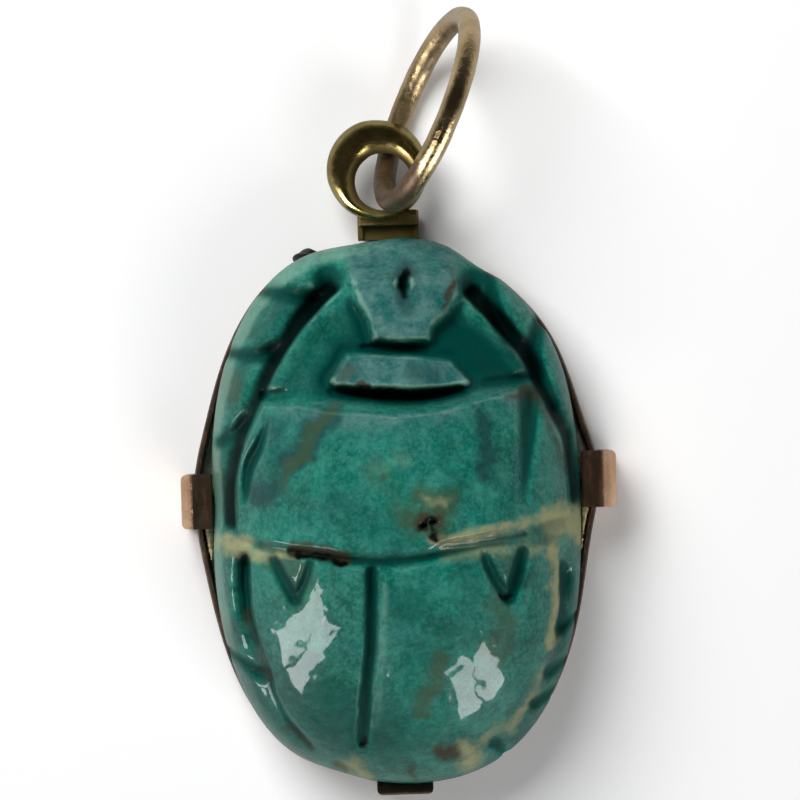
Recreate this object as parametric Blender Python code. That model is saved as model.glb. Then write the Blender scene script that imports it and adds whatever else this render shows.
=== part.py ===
"""A glazed stone scarab in a gold claw mount, with its bail and jump ring.

The amulet lies on its flat base. +Z is up, +Y runs towards the beetle's head,
and the origin is the centre of the flat base. Every length is in metres.
"""

import math

import bmesh
import bpy
import numpy as np

MM = 0.001

# Scarab: overall size, and the outline seen from above
SCARAB_LENGTH = 18.1 * MM
SCARAB_WIDTH = 12.2 * MM
SCARAB_HEIGHT = 7.4 * MM
OUTLINE_SQUARENESS = 2.5

# Scarab: the plate under the legs, which the collar grips
PLATE_HEIGHT = 1.45 * MM
PLATE_INSET_SIDE = 0.20 * MM
PLATE_INSET_END = 0.36 * MM
PLATE_CHAMFER = 0.30 * MM
LEG_RISE = 0.30 * MM
RIM_RISE = 0.55 * MM

# Scarab: how the back is domed, as powers of the distance from the centre
DOME_FLATNESS = 2.4
DOME_ROUNDING = 0.6

# Scarab: grid that the carving is worked on, then reduced to fewer faces
SCARAB_COLUMNS = 336
BACK_ROWS = 92
SIDE_ROWS = 5
SCARAB_FACE_SHARE = 0.0925

# Collar: a strip on edge round the foot of the scarab
FIT_GAP = 0.06 * MM
COLLAR_THICKNESS = 0.24 * MM
COLLAR_DROP = 0.10 * MM
COLLAR_COLUMNS = 96
CUSP_SWELL = 0.62 * MM
CUSP_RISE = 0.65 * MM
LEFT_CUSP_REACH = 2.0 * MM
RIGHT_CUSP_REACH = 1.7 * MM

# Claws: straps soldered to the outside of the collar
CLAW_THICKNESS = 0.33 * MM
CLAW_HEIGHT = 2.85 * MM
CLAW_DISH = 0.34 * MM
CLAW_FACET_SLOPE = 1.05
LEFT_CLAW_WIDTH = 1.80 * MM
LEFT_CLAW_OFFSET = 0.45 * MM
LEFT_CLAW_FLARE = 0.06 * MM
RIGHT_CLAW_WIDTH = 1.86 * MM
RIGHT_CLAW_OFFSET = 0.85 * MM
RIGHT_CLAW_FLARE = 0.18 * MM
TAIL_CLAW_WIDTH = 1.86 * MM
TAIL_CLAW_OFFSET = 0.05 * MM
TAIL_CLAW_STAND = 0.36 * MM
TAIL_CLAW_HEIGHT = 2.1 * MM

# Solder lump on the collar, beside the head
LUMP_LENGTH = 0.88 * MM
LUMP_THICKNESS = 0.30 * MM
LUMP_HEIGHT = 1.5 * MM
LUMP_ANGLE = math.radians(109.2)

# Bail: a loop with an off-centre hole, on a short square post
POST_WIDTH = 2.04 * MM
POST_LENGTH = 0.62 * MM
POST_BOTTOM = 0.35 * MM
POST_WALL = 0.17 * MM
POST_POCKET_DEPTH = 0.16 * MM
LOOP_RADIUS = 1.68 * MM
LOOP_DEPTH = 1.05 * MM
LOOP_MIDDLE_HEIGHT = 1.70 * MM
LOOP_OFFSET = 0.31 * MM
HOLE_RADIUS = 0.94 * MM
HOLE_OFFSET_X = 0.19 * MM
HOLE_OFFSET_Y = -0.40 * MM
LOOP_SEGMENTS = 36
LOOP_SIDES = 10

# Jump ring: it leans through the hole of the bail and touches down beside it
RING_RADIUS = 3.22 * MM
RING_WIRE_RADIUS = 0.38 * MM
RING_HEADING = math.radians(67.1)
RING_LEAN = math.radians(14.2)
RING_FLOOR_GAP = 0.02 * MM
RING_HOLE_SHIFT_X = 0.05 * MM
RING_HOLE_SHIFT_Y = 0.02 * MM
RING_SEGMENTS = 56
RING_SIDES = 8

# Cement that shows below the two side claws
CEMENT_START = 0.6 * MM
LEFT_CEMENT_END = 1.9 * MM
RIGHT_CEMENT_END = 2.3 * MM
CEMENT_TOP = 1.95 * MM
CEMENT_COLUMNS = 12

HALF_LENGTH = SCARAB_LENGTH / 2
HALF_WIDTH = SCARAB_WIDTH / 2
RIM_HEIGHT = PLATE_HEIGHT + LEG_RISE + RIM_RISE
COLLAR_HEIGHT = PLATE_HEIGHT - COLLAR_DROP
CURVE_STEPS = 8

# Carving. A point is a share of the half width and of the half length.
# Widths, depths and edges are thousandths of the scarab's length.
CARVING_UNIT = SCARAB_LENGTH / 1000

BODY_EDGE_LEFT = ((-0.25, 0.82), (-0.36, 0.75), (-0.47, 0.67), (-0.58, 0.56), (-0.66, 0.455),
                  (-0.74, 0.34), (-0.805, 0.23), (-0.85, 0.09), (-0.85, -0.09))
BODY_EDGE_RIGHT = ((0.37, 0.80), (0.47, 0.72), (0.62, 0.605), (0.71, 0.52), (0.75, 0.44),
                   (0.83, 0.34), (0.895, 0.235), (0.925, 0.10), (0.94, -0.03))
THORAX_FRONT = ((-0.7, 0.4), (-0.5, 0.392), (-0.33, 0.372), (-0.15, 0.358), (0.04, 0.35), (0.25, 0.358),
                (0.45, 0.392), (0.61, 0.42), (0.77, 0.44))
THORAX_BACK = ((-0.84, -0.09), (-0.71, -0.095), (-0.5, -0.115), (-0.27, -0.14), (0.01, -0.143),
               (0.16, -0.132), (0.24, -0.111), (0.38, -0.096), (0.66, -0.06), (0.94, -0.02))
WINGS_FRONT = ((-0.76, -0.125), (-0.51, -0.15), (-0.28, -0.178), (0.01, -0.193), (0.21, -0.17),
               (0.54, -0.155), (0.86, -0.13))
WING_EDGE_LEFT = ((-0.785, -0.12), (-0.785, -0.25), (-0.775, -0.36), (-0.735, -0.465), (-0.69, -0.57),
                  (-0.65, -0.66), (-0.59, -0.74), (-0.49, -0.815), (-0.39, -0.875), (-0.25, -0.925))
WING_EDGE_RIGHT = ((0.85, -0.12), (0.86, -0.28), (0.845, -0.42), (0.815, -0.515), (0.77, -0.585),
                   (0.705, -0.675), (0.625, -0.765), (0.51, -0.83), (0.36, -0.865))
HEAD_PLATE = ((-0.235, 0.95), (-0.235, 0.885), (-0.195, 0.79), (-0.13, 0.69), (-0.1, 0.62),
              (0.06, 0.608), (0.21, 0.61), (0.22, 0.655), (0.315, 0.705), (0.38, 0.77), (0.375, 0.81),
              (0.34, 0.85), (0.38, 0.91), (0.28, 1.02), (-0.12, 1.02))
BROW_BAR = ((-0.24, 0.57), (0.06, 0.562), (0.31, 0.535), (0.42, 0.455), (0.395, 0.438), (0.055, 0.433),
            (-0.3, 0.454), (-0.33, 0.475))

# Carved lines: width, depth, start and end strength, and the points that they follow
CARVED_LINES = {
    "slot under the head": (14, 26, 0.8, 0.8, ((-0.15, 0.588), (0.06, 0.581), (0.2, 0.572))),
    "slot under the bar": (17, 46, 0.9, 0.9, ((-0.32, 0.437), (-0.15, 0.421), (0.03, 0.409),
                                              (0.22, 0.412), (0.37, 0.426))),
    "left cheek slot": (12, 20, 1.0, 0.5, ((-0.685, 0.432), (-0.53, 0.429), (-0.36, 0.42))),
    "right cheek slot": (13, 22, 0.6, 1.0, ((0.5, 0.45), (0.64, 0.466), (0.75, 0.476))),
    "left shoulder sliver": (12, 15, 0.3, 0.4, ((-0.67, 0.33), (-0.725, 0.24), (-0.775, 0.165),
                                                (-0.8, 0.05))),
    "right shoulder wedge": (19, 21, 1.0, 0.1, ((0.728, 0.405), (0.715, 0.278), (0.694, 0.151),
                                                (0.675, 0.03))),
    "waist": (14, 16, 0.7, 0.3, ((-0.55, -0.13), (-0.27, -0.16), (0.01, -0.17), (0.21, -0.15),
                                 (0.45, -0.13), (0.67, -0.108))),
    "wing seam": (14, 24, 1.0, 0.8, ((-0.137, -0.20), (-0.142, -0.32), (-0.153, -0.46),
                                     (-0.175, -0.59), (-0.194, -0.72), (-0.214, -0.815))),
    "left mark, outer arm": (12, 13, 0.8, 1.0, ((-0.65, -0.156), (-0.6, -0.229), (-0.543, -0.298))),
    "left mark, inner arm": (10, 11, 0.8, 1.0, ((-0.456, -0.168), (-0.497, -0.239), (-0.543, -0.298))),
    "right mark, inner arm": (9, 12, 0.8, 1.0, ((0.465, -0.17), (0.52, -0.252), (0.584, -0.314))),
    "right mark, outer arm": (12, 16, 0.8, 1.0, ((0.664, -0.155), (0.622, -0.243), (0.584, -0.314))),
    "left leg notch 1": (15, 19, 0.5, 1.0, ((-0.68, 0.808), (-0.54, 0.791), (-0.41, 0.77))),
    "left leg notch 2": (15, 19, 0.6, 1.0, ((-0.86, 0.585), (-0.755, 0.577), (-0.65, 0.585))),
    "left leg notch 3": (14, 16, 0.7, 1.0, ((-0.96, 0.265), (-0.876, 0.29), (-0.785, 0.338))),
    "right leg notch 1": (17, 20, 0.6, 0.8, ((0.534, 0.84), (0.557, 0.73), (0.628, 0.62))),
    "right leg notch 2": (17, 20, 0.7, 0.7, ((0.80, 0.67), (0.76, 0.565), (0.785, 0.48),
                                             (0.86, 0.37))),
    "right leg notch 3": (12, 13, 0.6, 0.6, ((0.93, 0.30), (0.93, 0.24), (0.94, 0.17))),
    "left hind leg notch": (14, 15, 0.8, 0.8, ((-0.93, -0.495), (-0.855, -0.525), (-0.755, -0.57))),
    "right hind leg notch 1": (14, 15, 0.9, 0.8, ((0.86, -0.44), (0.905, -0.42), (0.97, -0.4))),
    "right hind leg notch 2": (14, 15, 0.9, 0.8, ((0.79, -0.6), (0.83, -0.585), (0.9, -0.565))),
    "right hind leg notch 3": (14, 15, 0.9, 0.8, ((0.71, -0.71), (0.765, -0.69), (0.84, -0.665))),
    "right hind leg notch 4": (14, 15, 0.9, 0.8, ((0.49, -0.845), (0.52, -0.87), (0.56, -0.91))),
}

# Hollows: centre, half width, half length and depth
HOLLOWS = {
    "drilled eye of the head": (0.076, 0.815, 11, 19, 22),
    "left pocket": (-0.315, 0.855, 24, 20, 24),
    "right pocket": (0.44, 0.815, 24, 24, 24),
    "end of the wing seam": (-0.214, -0.815, 12, 13, 10),
}

# Flats that wear has left on the outline: angle from +X in degrees, half angle, depth
OUTLINE_FLATS = ((65, 15, 17), (71, 5, 8), (98, 9, 10), (178, 11, 7), (256, 9, 11))

# Drops, lifts and reaches of the carved forms, in thousandths of the length
CHEEK_DROP = 52
CHEEK_REACH = 50
HEAD_LIFT = 30
BAR_LIFT = 22
HEAD_FALL = 38
EDGE_WIDTH = 7
LEG_DROP = 48
LEG_REACH = 48
CHANNEL_DROP = 34
CHANNEL_REACH = 38
WAIST_DROP = 11
SEAM_RIDGE_LIFT = 5
SEAM_RIDGE_SHIFT = 24
SEAM_RIDGE_WIDTH = 16

# Shares of those drops: at the cheek's very edge, under the head, in a line at the rim,
# and how much of a ledge's drop is gone at the far end of its path
CHEEK_WALL_SHARE = 0.45
CHEEK_HEAD_SHARE = 0.35
RIM_LINE_SHARE = 0.4
LEG_FADE = 0.45
CHANNEL_FADE = 0.25
LEDGE_END = 0.05
SEAM_RIDGE_START = 0.12
SEAM_RIDGE_END = 0.85

# Places along the length where forms fade, as shares of the half length
HEAD_FALL_FROM = 0.2
HEAD_FALL_TO = 0.8
CHEEK_FADE_FROM = 0.60
CHEEK_FADE_TO = 0.80
HEAD_LIFT_FROM = 1.0
HEAD_LIFT_TO = 0.75

# The rim keeps its shape: carving fades out towards it
RIM_FADE_POWER = 24
RIM_LOWEST_SHARE = 0.97
NOTCH_SHARE = 0.6
NOTCH_FADE_POWER = 20
ROW_CROWDING = 0.45


def smooth_path(points):
    """Sample a Catmull-Rom curve through points given as shares of the half sizes."""
    knots = [np.array((u * HALF_WIDTH, v * HALF_LENGTH)) for u, v in points]
    knots = [2 * knots[0] - knots[1]] + knots + [2 * knots[-1] - knots[-2]]
    path = []
    for before, start, end, after in zip(knots, knots[1:], knots[2:], knots[3:]):
        for step in range(CURVE_STEPS):
            t = step / CURVE_STEPS
            path.append(0.5 * (2 * start + (end - before) * t
                               + (2 * before - 5 * start + 4 * end - after) * t ** 2
                               + (3 * start - before - 3 * end + after) * t ** 3))
    path.append(knots[-2])
    return np.array(path)


def smoothstep(low, high, value):
    """Rise smoothly from 0 at low to 1 at high."""
    t = np.clip((value - low) / (high - low), 0.0, 1.0)
    return t * t * (3 - 2 * t)


def distance_to_path(x, y, path):
    """Distance to a path, positive on its left side, and the share of the path reached."""
    best = np.full(x.shape, np.inf)
    side = np.ones(x.shape)
    share = np.zeros(x.shape)
    count = len(path) - 1
    for index in range(count):
        start = path[index]
        run = path[index + 1] - start
        t = ((x - start[0]) * run[0] + (y - start[1]) * run[1]) / np.dot(run, run)
        t = np.clip(t, 0.0, 1.0)
        off_x = x - start[0] - t * run[0]
        off_y = y - start[1] - t * run[1]
        distance = np.hypot(off_x, off_y)
        nearer = distance < best
        best = np.where(nearer, distance, best)
        side = np.where(nearer, np.sign(run[0] * off_y - run[1] * off_x), side)
        share = np.where(nearer, (index + t) / count, share)
    return best * side, share


def distance_inside(x, y, outline):
    """Distance from a closed outline, positive inside it."""
    closed = np.vstack((outline, outline[:1]))
    distance = np.abs(distance_to_path(x, y, closed)[0])
    inside = np.zeros(x.shape, dtype=bool)
    for (x0, y0), (x1, y1) in zip(closed, closed[1:]):
        if y0 == y1:
            continue
        crossing = (y0 > y) != (y1 > y)
        inside ^= crossing & (x < x0 + (y - y0) * (x1 - x0) / (y1 - y0))
    return np.where(inside, distance, -distance)


def straight_outline(points):
    """A closed outline with straight sides through points given as shares."""
    return np.array([(u * HALF_WIDTH, v * HALF_LENGTH) for u, v in points])


def outline_radius(angle):
    """Radius of the scarab seen from above, at an angle from +X."""
    power = OUTLINE_SQUARENESS
    radius = (np.abs(np.cos(angle) / HALF_WIDTH) ** power
              + np.abs(np.sin(angle) / HALF_LENGTH) ** power) ** (-1 / power)
    for middle, half_angle, depth in OUTLINE_FLATS:
        turn = np.degrees(angle - math.radians(middle) + math.pi) % 360 - 180
        radius = radius - depth * CARVING_UNIT * np.exp(-(turn / half_angle) ** 2)
    return radius


def plate_radius(angle):
    """Radius of the plate that the collar grips."""
    end = np.abs(np.sin(angle)) ** 4
    return outline_radius(angle) - PLATE_INSET_SIDE - (PLATE_INSET_END - PLATE_INSET_SIDE) * end


def line_depth(x, y):
    """Depth of all the carved lines and hollows together."""
    depth = np.zeros(x.shape)
    for width, deep, start, end, points in CARVED_LINES.values():
        distance, share = distance_to_path(x, y, smooth_path(points))
        strength = start + (end - start) * share
        reach = width * CARVING_UNIT * (0.4 + 0.6 * strength)
        profile = smoothstep(0.0, 1.0, 1 - np.abs(distance) / reach)
        depth = np.maximum(depth, deep * CARVING_UNIT * strength * profile)
    for u, v, half_width, half_length, deep in HOLLOWS.values():
        across = (x - u * HALF_WIDTH) / (half_width * CARVING_UNIT)
        along = (y - v * HALF_LENGTH) / (half_length * CARVING_UNIT)
        profile = smoothstep(0.0, 1.0, 1 - np.hypot(across, along))
        depth = np.maximum(depth, deep * CARVING_UNIT * profile)
    return depth


def back_height(x, y, share):
    """Height of the carved back at points whose share of the outline radius is known."""
    unit = CARVING_UNIT
    edge = EDGE_WIDTH * unit
    v = y / HALF_LENGTH
    dome = np.clip(1 - share ** DOME_FLATNESS, 0.0, 1.0) ** DOME_ROUNDING
    height = RIM_HEIGHT + (SCARAB_HEIGHT - RIM_HEIGHT) * dome
    inner = 1 - share ** RIM_FADE_POWER
    height = height - HEAD_FALL * unit * smoothstep(HEAD_FALL_FROM, HEAD_FALL_TO, v) * inner

    # Legs stand below the body, and a channel runs beside the wing cases
    for path, drop, reach, fade, side in (
            (BODY_EDGE_LEFT, LEG_DROP, LEG_REACH, LEG_FADE, -1),
            (BODY_EDGE_RIGHT, LEG_DROP, LEG_REACH, LEG_FADE, 1),
            (WING_EDGE_LEFT, CHANNEL_DROP, CHANNEL_REACH, CHANNEL_FADE, -1),
            (WING_EDGE_RIGHT, CHANNEL_DROP, CHANNEL_REACH, CHANNEL_FADE, 1)):
        distance, along = distance_to_path(x, y, smooth_path(path))
        outside = distance * side
        wall = smoothstep(-edge, edge, outside)
        slope = 1 - smoothstep(edge, reach * unit, outside)
        ends = smoothstep(0.0, LEDGE_END, along) * smoothstep(1.0, 1 - LEDGE_END, along)
        height = height - drop * unit * wall * slope * ends * (1 - fade * along) * inner

    # The cheeks sink between the body's edge and the thorax, and the head and bar stand in them
    cheeks = np.vstack((smooth_path(BODY_EDGE_LEFT[:5]), smooth_path(THORAX_FRONT),
                        smooth_path(BODY_EDGE_RIGHT[:5])[::-1]))
    depth_inside = distance_inside(x, y, cheeks)
    sunk = CHEEK_WALL_SHARE * smoothstep(-edge, edge, depth_inside)
    sunk = sunk + (1 - CHEEK_WALL_SHARE) * smoothstep(0.0, CHEEK_REACH * unit, depth_inside)
    front = smoothstep(CHEEK_FADE_TO, CHEEK_FADE_FROM, v)
    height = height - CHEEK_DROP * unit * sunk * (CHEEK_HEAD_SHARE + (1 - CHEEK_HEAD_SHARE) * front)
    head = smoothstep(-edge, edge, distance_inside(x, y, straight_outline(HEAD_PLATE)))
    height = height + HEAD_LIFT * unit * head * smoothstep(HEAD_LIFT_FROM, HEAD_LIFT_TO, v)
    bar = smoothstep(-edge, edge, distance_inside(x, y, straight_outline(BROW_BAR)))
    height = height + BAR_LIFT * unit * bar

    # The waist is a sunk band between the thorax and the wing cases
    waist = np.vstack((smooth_path(THORAX_BACK), smooth_path(WINGS_FRONT)[::-1]))
    height = height - WAIST_DROP * unit * smoothstep(-edge, edge, distance_inside(x, y, waist))

    # A low ridge runs along the right side of the wing seam
    seam = smooth_path(CARVED_LINES["wing seam"][-1])
    distance, along = distance_to_path(x, y, seam)
    beside = (distance - SEAM_RIDGE_SHIFT * unit) / (SEAM_RIDGE_WIDTH * unit)
    within = smoothstep(0.0, SEAM_RIDGE_START, along) * smoothstep(1.0, SEAM_RIDGE_END, along)
    height = height + SEAM_RIDGE_LIFT * unit * np.exp(-beside ** 2) * within

    height = height - line_depth(x, y) * (RIM_LINE_SHARE + (1 - RIM_LINE_SHARE) * inner)
    return np.maximum(height, RIM_LOWEST_SHARE * RIM_HEIGHT)


def scarab_rows(angles):
    """Rows of points from the middle of the base, up the side and over the back."""
    radius = outline_radius(angles)
    plate = plate_radius(angles)
    cos = np.cos(angles)
    sin = np.sin(angles)
    rows = []

    def add(row_radius, row_height):
        rows.append(np.column_stack((row_radius * cos, row_radius * sin,
                                     row_height * np.ones(len(angles)))))

    for share in (0.35, 0.7):
        add(share * (plate - PLATE_CHAMFER), 0.0)
    add(plate - PLATE_CHAMFER, 0.0)
    add(plate, PLATE_CHAMFER)
    add(plate, PLATE_HEIGHT)
    notch = line_depth(radius * cos, radius * sin) * NOTCH_SHARE
    for step in range(1, SIDE_ROWS + 1):
        rise = step / SIDE_ROWS
        swell = math.sin(rise * math.pi / 2)
        add(plate + (radius - plate) * swell - notch * rise, PLATE_HEIGHT + LEG_RISE * rise)
    add(radius - notch, (PLATE_HEIGHT + LEG_RISE + RIM_HEIGHT) / 2)
    for step in range(BACK_ROWS):
        share = math.cos(step / BACK_ROWS * math.pi / 2)
        share = ROW_CROWDING * share + (1 - ROW_CROWDING) * (1 - step / BACK_ROWS)
        x = share * radius * cos
        y = share * radius * sin
        height = back_height(x, y, np.full(len(angles), share))
        pull = notch * share ** NOTCH_FADE_POWER
        rows.append(np.column_stack((x - pull * cos, y - pull * sin, height)))
    return rows


def new_object(name, vertices, faces, material):
    """Make a closed mesh object with its faces pointing outwards."""
    mesh = bpy.data.meshes.new(name)
    mesh.from_pydata([tuple(map(float, point)) for point in vertices], [], faces)
    work = bmesh.new()
    work.from_mesh(mesh)
    bmesh.ops.recalc_face_normals(work, faces=work.faces)
    work.to_mesh(mesh)
    work.free()
    mesh.shade_smooth()
    mesh.materials.append(material)
    thing = bpy.data.objects.new(name, mesh)
    bpy.context.collection.objects.link(thing)
    return thing


def material(name, colour, roughness, metallic):
    """A plain Principled material."""
    result = bpy.data.materials.new(name)
    result.use_nodes = True
    shader = result.node_tree.nodes["Principled BSDF"]
    shader.inputs["Base Color"].default_value = (*colour, 1.0)
    shader.inputs["Roughness"].default_value = roughness
    shader.inputs["Metallic"].default_value = metallic
    return result


def union(base, addition):
    """Join a hidden shape to an object with a Boolean union."""
    modifier = base.modifiers.new("Join " + addition.name, 'BOOLEAN')
    modifier.operation = 'UNION'
    modifier.object = addition
    hide_cutter(addition)


def hide_cutter(shape):
    """Show a shape as a wire guide only."""
    shape.hide_render = True
    shape.display_type = 'WIRE'


def loop_faces(rings, sides):
    """Quads of a closed tube with a number of rings, each with a number of sides."""
    faces = []
    for ring in range(rings):
        following = (ring + 1) % rings
        for side in range(sides):
            turned = (side + 1) % sides
            faces.append((ring * sides + side, ring * sides + turned,
                          following * sides + turned, following * sides + side))
    return faces


def build_scarab(stone):
    """The carved scarab, from its flat base to the crown of its back."""
    angles = np.arange(SCARAB_COLUMNS) * 2 * math.pi / SCARAB_COLUMNS
    rows = scarab_rows(angles)
    vertices = [point for row in rows for point in row]
    faces = []
    for row in range(len(rows) - 1):
        for column in range(SCARAB_COLUMNS):
            turned = (column + 1) % SCARAB_COLUMNS
            faces.append((row * SCARAB_COLUMNS + column, row * SCARAB_COLUMNS + turned,
                          (row + 1) * SCARAB_COLUMNS + turned, (row + 1) * SCARAB_COLUMNS + column))
    crown = back_height(np.zeros(1), np.zeros(1), np.zeros(1))[0]
    for row, height in ((0, 0.0), (len(rows) - 1, crown)):
        middle = len(vertices)
        vertices.append((0.0, 0.0, height))
        for column in range(SCARAB_COLUMNS):
            turned = (column + 1) % SCARAB_COLUMNS
            faces.append((middle, row * SCARAB_COLUMNS + column, row * SCARAB_COLUMNS + turned))
    scarab = new_object("scarab", vertices, faces, stone)
    reduce = scarab.modifiers.new("Fewer faces", 'DECIMATE')
    reduce.ratio = SCARAB_FACE_SHARE
    return scarab


def cusp_share(angle):
    """How far the collar swells out towards a side claw, from 0 to 1."""
    y = plate_radius(angle) * np.sin(angle)
    right = np.cos(angle) > 0
    centre = np.where(right, RIGHT_CLAW_OFFSET, LEFT_CLAW_OFFSET)
    reach = np.where(right, RIGHT_CUSP_REACH, LEFT_CUSP_REACH)
    return 1 / (1 + ((y - centre) / reach) ** 2)


def collar_radii(angle):
    """Inner and outer radius of the collar, which stays clear of the plate."""
    inner = plate_radius(angle) + FIT_GAP + CUSP_SWELL * cusp_share(angle)
    return inner, inner + COLLAR_THICKNESS


def build_collar(gold):
    """The strip on edge round the scarab's foot, rising in a cusp to each side claw."""
    angles = np.arange(COLLAR_COLUMNS) * 2 * math.pi / COLLAR_COLUMNS
    inner, outer = collar_radii(angles)
    room = (inner - outline_radius(angles) - FIT_GAP) / CUSP_SWELL
    top = COLLAR_HEIGHT + CUSP_RISE * np.clip(room, 0, 1)
    vertices = []
    for column, angle in enumerate(angles):
        for radius, height in ((inner[column], 0.0), (outer[column], 0.0),
                               (outer[column], top[column]), (inner[column], top[column])):
            vertices.append((radius * math.cos(angle), radius * math.sin(angle), height))
    return new_object("mount", vertices, loop_faces(COLLAR_COLUMNS, 4), gold)


def hooked_section(foot, reach, flare):
    """Section of a side claw, as distance outwards and height: a hook with a dished top."""
    thick = CLAW_THICKNESS
    root = foot - 0.1 * thick
    low = 0.15 * COLLAR_HEIGHT
    shoulder = CLAW_HEIGHT - thick
    run = foot - reach
    dip = CLAW_HEIGHT - CLAW_DISH
    facet = CLAW_FACET_SLOPE * (thick + flare)
    return [(foot + thick + flare, low), (foot + thick + flare, CLAW_HEIGHT - facet),
            (foot + 0.12 * thick, CLAW_HEIGHT - 0.08 * thick), (foot - 0.1 * thick, CLAW_HEIGHT),
            (foot - 0.45 * run, dip + 0.25 * CLAW_DISH), (reach, dip), (reach, dip - thick),
            (foot - 0.45 * run, dip + 0.25 * CLAW_DISH - thick), (root, shoulder - 0.4 * thick),
            (root, low)]


def dished_section(foot, reach):
    """Section of the tail claw: a strap with a dished top that stands off the scarab's edge."""
    low = 0.15 * COLLAR_HEIGHT
    out = reach + TAIL_CLAW_STAND
    return [(out - 0.1 * CLAW_THICKNESS, low), (out, TAIL_CLAW_HEIGHT - 0.5 * CLAW_THICKNESS),
            (out - 0.2 * CLAW_THICKNESS, TAIL_CLAW_HEIGHT), (reach + 0.3 * TAIL_CLAW_STAND,
                                                           TAIL_CLAW_HEIGHT - 0.7 * CLAW_DISH),
            (reach, TAIL_CLAW_HEIGHT - CLAW_DISH), (reach, COLLAR_HEIGHT),
            (foot - 0.1 * CLAW_THICKNESS, 0.9 * COLLAR_HEIGHT), (foot - 0.1 * CLAW_THICKNESS, low)]


def build_strap(name, section, place, width, gold):
    """A strap of one section; place turns a distance outwards and one along into X and Y."""
    vertices = []
    for along in (-width / 2, width / 2):
        for outward, height in section:
            vertices.append((*place(outward, along), height))
    count = len(section)
    faces = [tuple(range(count)), tuple(range(2 * count - 1, count - 1, -1))]
    for index in range(count):
        following = (index + 1) % count
        faces.append((index, following, count + following, count + index))
    strap = new_object(name, vertices, faces, gold)
    bevel = strap.modifiers.new("Worn corners", 'BEVEL')
    bevel.width = 0.2 * CLAW_THICKNESS
    bevel.segments = 2
    bevel.limit_method = 'ANGLE'
    bevel.angle_limit = math.radians(50)
    return strap


def build_side_claw(name, side, offset, width, flare, gold):
    """A strap that rises from the collar and hooks in to the scarab's side."""
    angle = math.asin(offset / HALF_WIDTH)
    if side < 0:
        angle = math.pi - angle
    foot = float(collar_radii(angle)[1]) * abs(math.cos(angle))
    reach = float(outline_radius(angle)) * abs(math.cos(angle)) + FIT_GAP
    return build_strap(name, hooked_section(foot, reach, flare),
                       lambda outward, along: (side * outward, offset + along), width, gold)


def build_tail_claw(gold):
    """A shorter strap at the tail."""
    angle = TAIL_CLAW_OFFSET / HALF_LENGTH - math.pi / 2
    foot = float(collar_radii(angle)[1])
    reach = float(outline_radius(angle)) + FIT_GAP
    return build_strap("tail claw", dished_section(foot, reach),
                       lambda outward, along: (TAIL_CLAW_OFFSET + along, -outward),
                       TAIL_CLAW_WIDTH, gold)


def build_lump(gold):
    """A run of dark solder on the collar beside the head."""
    outer = float(collar_radii(LUMP_ANGLE)[1])
    work = bmesh.new()
    bmesh.ops.create_icosphere(work, subdivisions=2, radius=0.5)
    for vertex in work.verts:
        vertex.co.x *= LUMP_THICKNESS * 2
        vertex.co.y *= LUMP_LENGTH
        vertex.co.z *= LUMP_HEIGHT
    mesh = bpy.data.meshes.new("solder lump")
    work.to_mesh(mesh)
    work.free()
    mesh.shade_smooth()
    mesh.materials.append(gold)
    lump = bpy.data.objects.new("solder lump", mesh)
    bpy.context.collection.objects.link(lump)
    lump.location = (outer * math.cos(LUMP_ANGLE), outer * math.sin(LUMP_ANGLE), LUMP_HEIGHT * 0.55)
    lump.rotation_euler.z = LUMP_ANGLE
    return lump


def build_mount(gold):
    """The collar with its three claws and the solder lump, joined into one piece."""
    mount = build_collar(gold)
    union(mount, build_side_claw("left claw", -1, LEFT_CLAW_OFFSET, LEFT_CLAW_WIDTH,
                                 LEFT_CLAW_FLARE, gold))
    union(mount, build_side_claw("right claw", 1, RIGHT_CLAW_OFFSET, RIGHT_CLAW_WIDTH,
                                 RIGHT_CLAW_FLARE, gold))
    union(mount, build_tail_claw(gold))
    union(mount, build_lump(gold))
    return mount


def head_of_collar():
    """How far the collar's outer face reaches towards +Y at the head."""
    return float(collar_radii(math.pi / 2)[1])


def loop_centre():
    """Centre of the bail's outer circle, seen from above."""
    return -LOOP_OFFSET, head_of_collar() + FIT_GAP + POST_LENGTH + LOOP_RADIUS


def hole_centre():
    """Centre of the hole in the bail, seen from above."""
    x, y = loop_centre()
    return x + HOLE_OFFSET_X, y + HOLE_OFFSET_Y


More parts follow.
